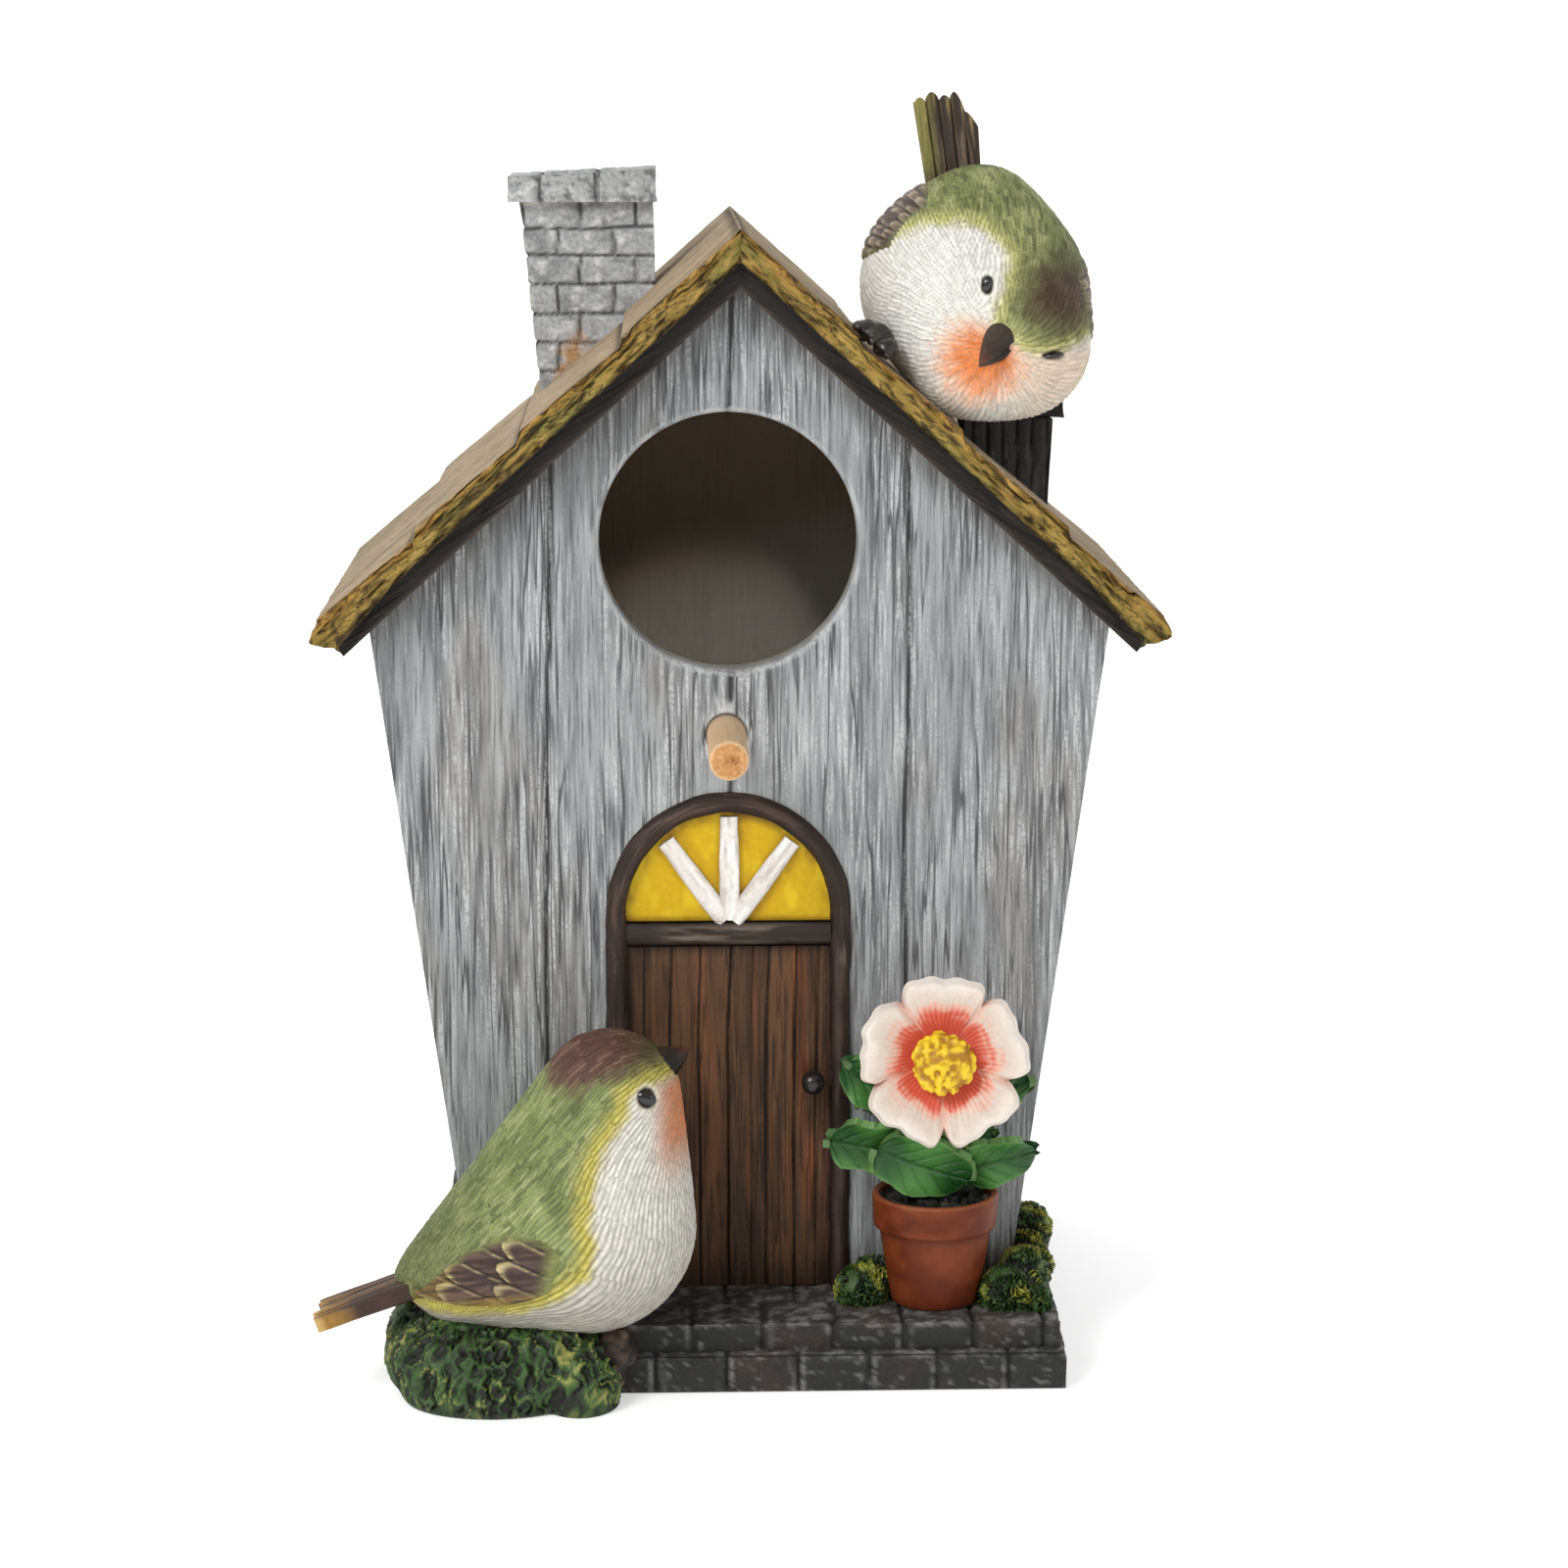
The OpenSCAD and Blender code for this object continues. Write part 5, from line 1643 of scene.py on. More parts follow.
def cast_beak(name, base, tip, wide, high, droop):
    """A short two-part beak between two places, with the mouth as a groove round its sides."""
    clear_selection()
    bpy.ops.mesh.primitive_uv_sphere_add(segments=64, ring_count=40, radius=1)
    piece = name_new(name)
    q = points_of(piece)
    t = (q[:, 0] + 1) / 2
    body = np.sqrt(np.clip(1 - q[:, 0] ** 2, 0, 1))
    blunt = np.sqrt(np.clip(1 - (1 - t / 0.25) ** 2, 0, 1))
    taper = np.where(t < 0.25, blunt, (1 - ((t - 0.25) / 0.75)) ** 0.8)
    scale = taper / np.maximum(body, 1e-4)
    a = q[:, 1] * scale
    b = q[:, 2] * scale
    mouth = (1 - ramp(np.abs(b + 0.12), 0.03, 0.2)) * (np.abs(a) > 0.12)
    a = a * (1 - 0.16 * mouth)
    base = np.asarray(base, float)
    tip = np.asarray(tip, float)
    along = (tip - base) / np.linalg.norm(tip - base)
    side = np.cross(along, (0, 0, 1))
    side = side / np.linalg.norm(side)
    up = np.cross(side, along)
    place = base + along * (t * np.linalg.norm(tip - base))[:, None]
    place = place + side * (a * wide)[:, None] + up * (b * high - droop * t ** 2)[:, None]
    move_points(piece, place * MM)
    return piece, t, mouth, b


low_beak, t, mouth, b = cast_beak("low_beak", (-18.4, LOW_Y, 66.6), (-10.7, LOW_Y, 71.0), 3.5, 4.1, 0.1)
# The upper side is lighter: a painted highlight.
colour = coats(
    ink("140f0c"),
    ("33261e", ramp(b, 0.1, 0.8) * 0.7),
    ("5e2f1c", ramp(t, 0.6, 0.95) * 0.5),
    ("120d0a", mouth * 0.8),
)
lay_paint(low_beak, colour)
place_piece(low_beak, beak_paint, "beak_paint", "low_bird_beak")


def bead(name, centre, size, turn=0.0):
    """A small oval bead, turned about the depth axis."""
    clear_selection()
    bpy.ops.mesh.primitive_uv_sphere_add(segments=40, ring_count=24, radius=1)
    piece = name_new(name)
    q = points_of(piece) * np.asarray(size) * MM
    x = q[:, 0] * math.cos(turn) + q[:, 2] * math.sin(turn)
    z = -q[:, 0] * math.sin(turn) + q[:, 2] * math.cos(turn)
    move_points(piece, np.stack([x, q[:, 1], z], 1) + np.asarray(centre) * MM)
    lay_paint(piece, np.tile(ink("0c0a0a"), (len(q), 1)))
    return piece


eye_gloss = painted("eye_paint", 0.12, 2 * MM, speckle=0.05, bump=0.01 * MM, sheen=0.7)
low_eyes = join_all("low_eye_beads", [
    bead("bead_a", (-19.6, -71.9, 64.0), (2.15, 1.0, 1.5), 0.3),
    bead("bead_b", (-19.6, 2 * LOW_Y + 71.9, 64.0), (2.15, 1.0, 1.5), 0.3),
])
place_piece(low_eyes, eye_gloss, "eye_paint", "low_bird_eyes")

# ---- Roof bird: a second cast songbird that leans over the right slope, head towards the front.
# It wears the same paints, holds on by one foot and rests on the stub chimney's cap.
ROOF_MIDDLE = (46.4, -27.5, 219.6)
ROOF_BALLS = (
    (ROOF_MIDDLE, 22.3), ((53.4, -38, 209.7), 16.5), ((48.5, -26, 231.0), 13.0),
    ((44.0, -20.5, 238.5), 4.0), ((56.0, -30, 220.0), 14.0), ((46.0, -37, 205.0), 12.0),
)
roof_bird = soft_body("roof_songbird", ROOF_BALLS, 1.1 * MM, BIRD_NET)
roof_skin = skin_of(roof_bird)
ROOF_CORE = (ROOF_MIDDLE, (48.5, -26, 231.0))
p = points_of(roof_bird)
x, y, z = p[:, 0], p[:, 1], p[:, 2]
stroke, tone, follow = feather_strokes(p, (50.0, -55.0, 209.0), (44.0, -6.0, 236.0), 241, 0.004)
GREEN_SIDE = (
    (20.0, 226.5), (26.0, 228.2), (31.7, 231.2), (37.0, 232.9), (42.0, 233.4), (47.0, 232.4), (50.6, 229.8),
    (52.6, 226.2), (52.0, 221.9), (49.8, 217.0), (49.4, 212.8), (52.5, 210.2), (57.7, 208.0), (62.5, 208.6),
    (67.0, 211.0), (76.0, 213.0), (76.0, 262.0), (20.0, 262.0),
)
green_by = inside_by(x, z, GREEN_SIDE) + (rough(p, 2.2, 2, 243) - 0.5) * 1.8 * MM
green_by = np.maximum(green_by, np.minimum(y + 19 * MM, z - 204 * MM))
patch = rough(p, 7, 3, 247)
green = coats(
    ink("7b834f"),
    ("969d66", ramp(patch, 0.4, 0.65)),
    ("474f2e", ramp(tone, 0.6, 0.95) * 0.65),
    ("adaf7c", ramp(1 - tone, 0.72, 0.95) * 0.5),
)
yellow = mix(ink("a8a65a"), ink("cfcb90"), ramp(stroke, 0.2, 0.8))
white = mix(ink("ccc9c1"), ink("e4e2dc"), ramp(stroke, 0.2, 0.8))
cheek = ramp(x, 50 * MM, 58 * MM) * (1 - ramp(z, 206 * MM, 211 * MM))
# Pinkish cheek; the white greys towards the bottom: painted shade under the breast.
white = coats(
    white,
    ("d3b79b", cheek * 0.65),
    ("bdb8aa", (1 - ramp(z, 196 * MM, 203 * MM)) * 0.5),
)
colour = coats(
    white,
    (yellow, ramp(green_by, -2.2 * MM, 0.6 * MM)),
    (green, ramp(green_by, -0.4 * MM, 3.2 * MM)),
)
cap_off = np.sqrt(((x - 63.0 * MM) / 8.8) ** 2 + ((z - 218.6 * MM) / 7.6) ** 2) / MM
cap_off = cap_off + (rough(p, 1.8, 2, 249) - 0.5) * 0.5
front_half = 1 - ramp(y, -26 * MM, -20 * MM)
maroon = mix(ink("402a20"), ink("5c4538"), ramp(tone, 0.4, 1.0))
colour = coats(
    colour,
    ("4c4c2e", (1 - ramp(cap_off, 0.8, 1.6)) * front_half * 0.6),
    (maroon, (1 - ramp(cap_off, 0.35, 1.2)) * front_half * 0.92),
)
from_beak = np.hypot((x - 46.5 * MM), (z - 206.5 * MM)) / MM
below = ramp(-(z - 214.5 * MM) - 0.55 * (x - 46 * MM), -3.0 * MM, 4.0 * MM)
orange_share = (1 - ramp(from_beak + 2.0 * (1 - tone), 3.5, 12.5)) * below * front_half
orange_share = orange_share * (1 - ramp(green_by, -1.5 * MM, 0.5 * MM))
colour = coats(
    colour,
    ("ecb688", orange_share ** 0.7 * 0.8),
    ("d26a16", orange_share ** 1.2 * (0.7 + 0.3 * stroke)),
)
EYES = ((47.7, -50.6, 221.0), (60.7, -52.2, 207.4))
calm = np.ones(len(p))
dip = np.zeros(len(p))
for number, eye in enumerate(EYES):
    ex, _, ez = (c * MM for c in eye)
    if number == 0:
        off = np.hypot((x - ex) * 1.45, (z - ez) * 0.95) + 10 * (y > -35 * MM)
    else:
        off = np.hypot((x - ex) * 0.75, (z - ez) * 2.2) + 10 * (y > -35 * MM)
    calm = np.minimum(calm, ramp(off, 2.0 * MM, 3.4 * MM))
    dip = np.maximum(dip, 1 - ramp(off, 1.2 * MM, 2.6 * MM))
    if number == 0:
        colour = mix(colour, ink("efece2"), (1 - ramp(off, 2.0 * MM, 3.0 * MM)) * 0.7)
    colour = mix(colour, ink("2a211c"), 1 - ramp(off, 1.5 * MM, 2.1 * MM))
# Painted shade in the grooves between the feather strokes.
crease_shade = np.where(green_by < -1.5 * MM, 0.8, 0.62)[:, None]
colour = mix(colour * crease_shade, colour, ramp(stroke, 0.0, 0.4))
n = facing_of(roof_bird)
depth = FEATHER_DEPTH * (1 - stroke) * calm + 0.45 * MM * dip
move_points(roof_bird, p - n * depth[:, None])
lay_paint(roof_bird, colour)
lay_grain(roof_bird, follow)


def back_wing(name, turn_middle, turn_half, high, seed):
    """One of the roof bird's folded wings, laid round its back; turns are in degrees."""
    wing = flat_net(name, 100, 84)
    q = points_of(wing)
    centre = np.asarray(ROOF_MIDDLE) * MM
    s = q[:, 0]
    width = np.sin(np.clip(0.12 + s * 0.86, 0, 1) * math.pi) ** 0.6
    turn = np.radians(turn_middle + (q[:, 1] - 0.5) * 2 * turn_half * width + 6 * s)
    tilt = np.radians(-34 + 88 * s)
    way = np.stack([np.cos(turn) * np.cos(tilt), np.sin(tilt), np.sin(turn) * np.cos(tilt)], 1)
    s_mm = s * 34.0
    w_mm = (q[:, 1] - 0.5) * 2 * width * turn_half * 0.38
    rows = (4.5, 9.0, 13.5, 18.0, 22.5, 27.0)
    relief, pale, shade, groove, tone = feather_rows(s_mm, w_mm, rows, 2.5, 0.0, seed)
    rim = to_rim(q)
    lift = (0.1 + high * relief * ramp(rim, 0, 1.2) - 0.6 * (1 - ramp(rim, 0, 0.7))) * MM
    lay_on(wing, roof_skin, centre + way * 0.06, -way, ROOF_CORE, lift)
    streak = rough(np.stack([s_mm * MM, w_mm * MM, s * 0], 1), (7, 0.7, 1), 2, seed + 3)
    brown = coats(
        ink("4a3a34"),
        ("7c6a5e", ramp(streak, 0.35, 0.7) * (0.5 + 0.5 * tone)),
        ("221a17", np.clip(shade * 0.6 + groove * 0.6, 0, 1)),
    )
    colour = coats(
        brown,
        ("bdb194", np.clip(pale, 0, 1) * ramp(streak, 0.3, 0.6) * 0.5),
        ("6d7648", (1 - ramp(rim, 0.1, 1.0)) * 0.7),
    )
    lay_paint(wing, colour)
    lay_grain(wing, np.stack([s_mm * MM, w_mm * MM, s * 0], 1))
    close_back(wing, WING_THICK)
    return wing


wing_left = back_wing("roof_wing_left", 138, 30, 0.7, 251)
wing_right = back_wing("roof_wing_right", -8, 24, 0.45, 257)
place_piece(roof_bird, plumage_paint, "plumage", "roof_bird_body")
place_piece(wing_left, wing_paint, "flight_feathers", "roof_bird_wing_left")
place_piece(wing_right, wing_paint, "flight_feathers", "roof_bird_wing_right")

roof_tail, t, groove, barbs, q = fan_tail(
    "roof_tail_feathers", (43.9, -20.6, 235.0), (41.3, -17.6, 257.7), 5.3, 6.2, 1.9, 1.3, (1, 0, 0), 261, 0.26
)
colour = mix(ink("33281f"), ink("5f5040"), ramp(barbs, 0.42, 0.7))
left_edge = ramp(-q[:, 1], 0.25, 0.8)
colour = coats(
    colour,
    ("7f7a3c", left_edge * ramp(t, 0.1, 0.5) * 0.75),
    ("8d7a40", ramp(t, 0.75, 1.0) * ramp(barbs, 0.35, 0.6) * 0.6),
    ("130e0b", groove * 0.75),
)
lay_paint(roof_tail, colour)
place_piece(roof_tail, wing_paint, "flight_feathers", "roof_bird_tail")

roof_beak, t, mouth, b = cast_beak("roof_beak", (51.8, -49.8, 211.6), (45.6, -58.6, 205.8), 3.4, 3.9, 0.1)
# The upper side is lighter: a painted highlight.
colour = coats(
    ink("17110d"),
    ("4a3b30", ramp(b, -0.1, 0.7) * 0.6),
    ("7a4630", ramp(t, 0.6, 1.0) * 0.5),
    ("120d0a", mouth * 0.8),
)
lay_paint(roof_beak, colour)
place_piece(roof_beak, beak_paint, "beak_paint", "roof_bird_beak")
roof_eyes = join_all("roof_eye_beads", [
    bead("bead_a", (47.7, -50.5, 221.0), (1.1, 0.9, 1.75), 0.3),
    bead("bead_b", (60.7, -52.3, 207.4), (2.0, 0.9, 0.6), -0.15),
])
place_piece(roof_eyes, eye_gloss, "eye_paint", "roof_bird_eyes")

# The foot is a dark clawed lump that grips the roof's front edge
clear_selection()
toes = []
for number, (centre, size) in enumerate((
    ((24.6, -41.5, 211.6), (3.0, 3.4, 2.6)), ((28.6, -43.2, 208.2), (2.9, 3.0, 2.4)),
    ((22.9, -44.4, 212.6), (1.3, 2.2, 1.5)), ((25.6, -45.4, 210.0), (1.3, 2.2, 1.5)),
    ((28.6, -45.6, 207.0), (1.3, 2.0, 1.4)), ((27.0, -40.0, 211.0), (3.2, 3.0, 2.4)),
)):
    toes.append(bead("toe_%d" % number, centre, size))
foot = join_all("dark_foot", toes)
modify(foot, "REMESH", mode="VOXEL", voxel_size=0.35 * MM)
p = points_of(foot)
n = facing_of(foot)
crease = rough(p, (1.6, 4, 1.2), 3, 271)
move_points(foot, p - n * (0.7 * MM * (1 - crease))[:, None])
lay_paint(foot, mix(ink("15110f"), ink("403a34"), ramp(crease, 0.5, 0.75)))
place_piece(foot, black_gloss, "black_paint", "roof_bird_foot")

# ---- Mound: a low cast tuft of grass under the bird, dark in its creases and green to olive on
# its squiggly ridges, with two brown stones at its right end.
GRASS_DARK = ink("171810")
GRASS_GREEN = ink("3d6528")
GRASS_OLIVE = ink("9d974f")
grass_paint = painted("grass_paint", 0.55, 0.6 * MM, speckle=0.3, bump=0.06 * MM, sheen=0.4)


def lump_skin(name, lumps, voxel):
    """Overlapping lumps remeshed into one even skin. Each lump is a centre and three half sizes."""
    clear_selection()
    parts = []
    for number, (centre, size) in enumerate(lumps):
        bpy.ops.mesh.primitive_ico_sphere_add(subdivisions=5, radius=1)
        part = bpy.context.active_object
        move_points(part, (points_of(part) * np.asarray(size) + np.asarray(centre)) * MM)
        parts.append(part)
        clear_selection()
    piece = join_all(name, parts)
    modify(piece, "REMESH", mode="VOXEL", voxel_size=voxel)
    modify(piece, "SMOOTH", iterations=8)
    return piece


def flat_foot(piece, level):
    """Presses everything below a level flat onto it."""
    p = points_of(piece)
    p[:, 2] = np.maximum(p[:, 2], level)
    move_points(piece, p)


def grassy(piece, seed, pitch, tall, upright):
    """Squiggly strands that run down from the middle, green on top of dark creases."""
    p = points_of(piece)
    n = facing_of(piece)
    bend = (rough(p, 2.4, 2, seed) - 0.5) * 4.2 * pitch * MM
    off_x = p[:, 0] + 49 * MM
    off_y = p[:, 1] + 52 * MM
    around = np.arctan2(off_x, -off_y) * 19 * MM + bend
    down = (p[:, 2] - 0.8 * np.hypot(off_x, off_y) + bend) / upright
    spot = np.stack([around, down, np.zeros(len(p))], 1)
    wave = rough(spot, pitch * 2.0, 2, seed + 1)
    ridge = 1 - np.abs(wave - 0.5) * 2 / 0.45
    ridge = np.clip(ridge, 0, 1)
    second = 1 - np.clip(np.abs(rough(spot + 0.03, pitch * 1.7, 1, seed + 5) - 0.5) * 2 / 0.4, 0, 1)
    height = np.maximum(ridge, 0.85 * second)
    amount = np.where(n[:, 2] < -0.5, 0, 1.0)
    move_points(piece, p - n * (tall * MM * (1 - height) * amount)[:, None])
    tone = rough(p, 5, 2, seed + 7)
    lit = ramp(height, 0.45, 0.95)
    colour = mix(GRASS_DARK, GRASS_GREEN, lit * (0.55 + 0.45 * tone))
    tips = ramp(height, 0.78, 1.0) * ramp(tone, 0.38, 0.6)
    colour = coats(
        colour,
        (GRASS_OLIVE, tips * 0.9),
        ("1a1c12", (1 - ramp(p[:, 2], 0, 3 * MM)) * 0.5),
    )
    lay_paint(piece, colour)


mound = lump_skin("grass_tuft", (
    ((-55, -58, 7.5), (18.0, 18.5, 11.5)), ((-41, -61, 6.5), (15.5, 16.0, 12)),
    ((-60, -52, 9), (13, 14.5, 11)), ((-45, -52, 7), (18, 14.5, 12.2)),
    ((-50, -64, 4.5), (20, 14.2, 10.5)), ((-33.0, -67, 4), (8.5, 10.5, 10.5)),
    ((-36.0, -60, 8), (9.5, 14.5, 11)),
), 0.42 * MM)
flat_foot(mound, 0.0)
grassy(mound, 301, 0.62, 1.35, 4.0)
flat_foot(mound, 0.0)
place_piece(mound, grass_paint, "grass_paint", "grass_mound")

rock_paint = painted("rock_paint", 0.6, 0.9 * MM, speckle=0.35, bump=0.12 * MM)
rock = lump_skin("brown_stones", (
    ((-25.5, -67, 11), (4.8, 4.6, 4.9)), ((-28.5, -66, 6), (5.3, 5.2, 5.4)),
), 0.4 * MM)
p = points_of(rock)
n = facing_of(rock)
facet = rough(p, 3.0, 3, 311)
move_points(rock, p - n * (1.3 * MM * (1 - facet))[:, None])
flat_foot(rock, 0.05 * MM)
colour = coats(
    ink("1c1613"),
    ("4e3e34", ramp(facet, 0.4, 0.65)),
    ("7d6d60", ramp(facet, 0.62, 0.8) * 0.7),
)
lay_paint(rock, colour)
place_piece(rock, rock_paint, "rock_paint", "mound_rock")

# ---- Moss: small cast tufts of raised blades, glued on both sides of the pot and along the right
# wall's foot. The blades are green with yellow tips.
moss_paint = painted("moss_paint", 0.5, 0.6 * MM, speckle=0.3, bump=0.06 * MM, sheen=0.4)


def blade_tuft(name, lumps, seed, middle):
    """A tuft of blades that fan out from its middle."""
    piece = lump_skin(name, lumps, 0.4 * MM)
    p = points_of(piece)
    n = facing_of(piece)
    off = p - np.asarray(middle) * MM
    turn = np.arctan2(off[:, 2] + 3 * MM, off[:, 0])
    out = np.linalg.norm(off, axis=1)
    u = turn * 15 + (rough(p, 2.6, 2, seed) - 0.5) * 6 + np.floor(out / (3.0 * MM)) * 0.5
    blade = np.abs((u % 1) - 0.5) * 2
    blade = 1 - ramp(blade, 0.2, 0.95)
    step = (out / (3.0 * MM)) % 1
    height = blade * (0.45 + 0.55 * ramp(step, 0.0, 0.5)) * (1 - 0.6 * ramp(step, 0.85, 1.0))
    height = np.maximum(height, 0.8 * ramp(rough(p, 2.2, 2, seed + 3), 0.55, 0.7))
    amount = np.where(n[:, 2] < -0.5, 0, 1.0)
    move_points(piece, p - n * (1.5 * MM * (1 - height) * amount)[:, None])
    tone = rough(p, 3.5, 2, seed + 5)
    colour = coats(
        ink("14150d"),
        ("3f5f28", ramp(height, 0.4, 0.9) * (0.5 + 0.5 * tone)),
        ("a3a23c", ramp(height, 0.65, 1.0) * ramp(tone, 0.42, 0.62) * 0.9),
    )
    lay_paint(piece, colour)
    flat_foot(piece, FOOT_Z - 0.3 * MM)
    return piece


moss_left = blade_tuft("moss_by_the_door", (
    ((24.3, -45, 15.2), (5.9, 5.9, 5.8)), ((27.2, -42, 17.6), (4.9, 4.9, 4.8)),
), 321, (25.5, -43, 13))
place_piece(moss_left, moss_paint, "moss_paint", "moss_left")
moss_right = blade_tuft("moss_at_the_corner", (
    ((54.5, -48, 15), (6.8, 6.8, 6.8)), ((57.4, -43, 18), (5.9, 5.9, 5.9)),
    ((58.9, -50, 14), (4.9, 4.9, 4.9)), ((59.8, -38, 18), (5.4, 5.4, 5.4)),
    ((60.2, -30, 23.8), (5.3, 7.0, 5.3)), ((60.8, -20, 19), (5.3, 8.0, 5.3)),
), 331, (57, -44, 13))
place_piece(moss_right, moss_paint, "moss_paint", "moss_right")

# ---- Flower pot: a cast pot in terracotta paint, glued to the plinth in front of the wall, and full
# of dark crumbs of soil.
POT = (39.4 * MM, -45 * MM)
pot_rows = (
    (0.5, 13.5), (8.0, 13.5), (8.7, 13.6), (8.95, 14.1), (9.2, 15.6), (9.6, 18.0), (10.0, 20.4), (10.4, 22.8),
    (10.8, 25.2), (11.1, 27.4), (11.3, 28.9), (11.5, 29.25), (12.1, 29.35), (12.45, 29.6), (12.6, 30.1),
    (12.7, 31.6), (12.85, 33.4), (12.95, 34.9), (12.98, 35.7), (12.85, 36.2), (12.5, 36.48), (12.0, 36.5),
    (11.6, 36.3), (11.35, 35.8), (11.2, 35.0), (10.9, 33.0), (10.6, 30.0), (4.0, 30.0), (0.5, 30.0),
)
pot = spun("terracotta_pot", [(r * MM, z * MM) for r, z in pot_rows], POT, 128, axis=2)
p = points_of(pot)
off = p - np.asarray((POT[0], POT[1], 0))
out = np.hypot(off[:, 0], off[:, 1])
wobble = (rough(p, 12, 2, 341) - 0.5) * 0.6 * MM
p[:, 0] += off[:, 0] / np.maximum(out, 1e-6) * wobble * (out > 4 * MM)
p[:, 1] = np.minimum(p[:, 1], -36.1 * MM)
blot = rough(p, (5, 5, 3), 3, 343)
line = 1 - ramp(np.abs(p[:, 2] - 29.2 * MM), 0.15 * MM, 0.7 * MM)
colour = coats(
    ink("622812"),
    ("75371b", ramp(blot, 0.35, 0.65)),
    ("552414", ramp(1 - blot, 0.55, 0.75) * 0.6),
    ("5a2a1a", line * 0.75),
    ("a3613e", (1 - ramp(np.abs(p[:, 2] - 36.3 * MM), 0, 0.5 * MM)) * 0.5),
    ("4a2418", (1 - ramp(p[:, 2], 13.4 * MM, 15 * MM)) * 0.5),
)
move_points(pot, p)
lay_paint(pot, colour)
pot_paint = painted("terracotta_paint", 0.48, 1.6 * MM, speckle=0.12, bump=0.08 * MM, sheen=0.22)
place_piece(pot, pot_paint, "terracotta_paint", "flower_pot")

soil = spun(
    "soil_crumbs",
    [(r * 0.55 * MM, 34.6 * MM) for r in range(1, 22)] + [(11.2 * MM, 31.0 * MM), (0.6 * MM, 31.0 * MM)],
    POT, 110, axis=2,
)
p = points_of(soil)
top = p[:, 2] > 34 * MM
crumb = rough(p, 1.5, 2, 351)
high = rough(p, 4, 2, 353)
p[:, 2] += top * (1.6 * MM * ramp(crumb, 0.35, 0.7) + 1.2 * MM * (high - 0.5))
p[:, 2] = np.where(top, np.minimum(p[:, 2], 37.0 * MM), p[:, 2])
p[:, 1] = np.minimum(p[:, 1], -36.2 * MM)
move_points(soil, p)
lay_paint(soil, mix(ink("0f0e0c"), ink("4a4844"), ramp(crumb, 0.55, 0.8) * 0.8))
soil_paint = painted("soil_paint", 0.6, 0.5 * MM, speckle=0.4, bump=0.15 * MM)
place_piece(soil, soil_paint, "soil_paint", "pot_soil")

# ---- Flower: a stem, glossy veined leaves, five thick ruffled petals, cream with a coral heart,
# and a lumpy yellow centre, all cast in one tilted head.
leaf_paint = painted("leaf_paint", 0.36, 1.2 * MM, speckle=0.12, bump=0.05 * MM, sheen=0.35)
HEAD = np.asarray((39.9, -57.0, 67.2))
HEAD_TILT = math.radians(12)
stem_rows = [(1.7 * MM, z * MM) for z in (33, 40, 48, 56, 64)]
stem = spun("flower_stem_rod", stem_rows, (POT[0], POT[1]), 24, axis=2)
p = points_of(stem)
rise = np.clip((p[:, 2] - 33 * MM) / (31 * MM), 0, 1)
p[:, 1] += rise ** 1.5 * (HEAD[1] * MM - POT[1] + 3.5 * MM)
move_points(stem, p)
lay_paint(stem, np.tile(ink("2c5a2a"), (len(p), 1)))
place_piece(stem, leaf_paint, "leaf_paint", "flower_stem")

LEAVES = (
    ((27.0, -48.5, 46.5), 9.4, 6.6, 10, 30, 0.3), ((36.5, -54.0, 44.0), 10.4, 7.4, 24, 26, 1.7),
    ((50.3, -50.0, 43.5), 9.6, 6.0, -18, 30, 2.9), ((29.2, -43.5, 57.0), 10.4, 5.4, 34, 12, 4.1),
    ((49.8, -43.5, 54.0), 10.6, 4.6, -36, 12, 5.3), ((43.5, -51.5, 47.5), 7.8, 6.4, -30, 34, 6.1),
)
leaves = []
for number, (centre, long_half, wide_half, turn, lean, phase) in enumerate(LEAVES):
    leaf = flat_net("leaf_%d" % number, 72, 36)
    q = points_of(leaf)
    t = q[:, 0] * 2 - 1
    v = q[:, 1] * 2 - 1
    half = np.clip(1 - np.abs(t) ** 2.6, 0, 1) ** 0.5 * (1 + 0.07 * np.sin(t * 7 + phase)) * (1 - 0.12 * t)
    a = t * long_half
    b = v * half * wide_half
    vein = np.abs(((np.abs(v) * 0.7 - t) * 2.6 + phase) % 1 - 0.5) * 2
    mid = (1 - ramp(np.abs(v) * wide_half * half, 0.15, 0.55)) * 0.7
    cup = 1.6 * (np.abs(v) * half) ** 1.8 + 0.9 * np.sin(t * 4.5 + v * 1.8 + phase) * np.abs(v)
    lift = cup - 2.2 * t ** 2 - 0.28 * (1 - ramp(vein, 0.0, 0.35)) * (1 - mid) - 0.6 * mid
    turn_by = math.radians(turn)
    lean_by = math.radians(lean)
    x = a * math.cos(turn_by) + b * math.sin(turn_by)
    z = -a * math.sin(turn_by) + b * math.cos(turn_by)
    y = -lift * math.cos(lean_by) - z * math.sin(lean_by)
    rise = z * math.cos(lean_by) - lift * math.sin(lean_by) * 0.6 + lift * 0.3
    move_points(leaf, (np.stack([x, y, rise], 1) + np.asarray(centre)) * MM)
    colour = coats(
        ink("1f4a1e"),
        ("4a7f3a", ramp(lift, -1.4, 1.4)),
        ("1a3f1c", (1 - ramp(vein, 0.0, 0.3)) * (1 - mid) * 0.3),
        ("163a1d", mid * 0.6),
        ("8fb070", ramp(np.abs(v), 0.9, 1.0) * 0.35),
    )
    lay_paint(leaf, colour)
    thicken(leaf, 1.5 * MM)
    leaves.append(leaf)
foliage = join_all("glossy_leaves", leaves)
face_outwards(foliage)
place_piece(foliage, leaf_paint, "leaf_paint", "flower_leaves")

petal_paint = painted("petal_paint", 0.42, 1.0 * MM, speckle=0.06, bump=0.05 * MM, sheen=0.45)
PETAL_REACH = 17.0
PETAL_GROOVES = 60


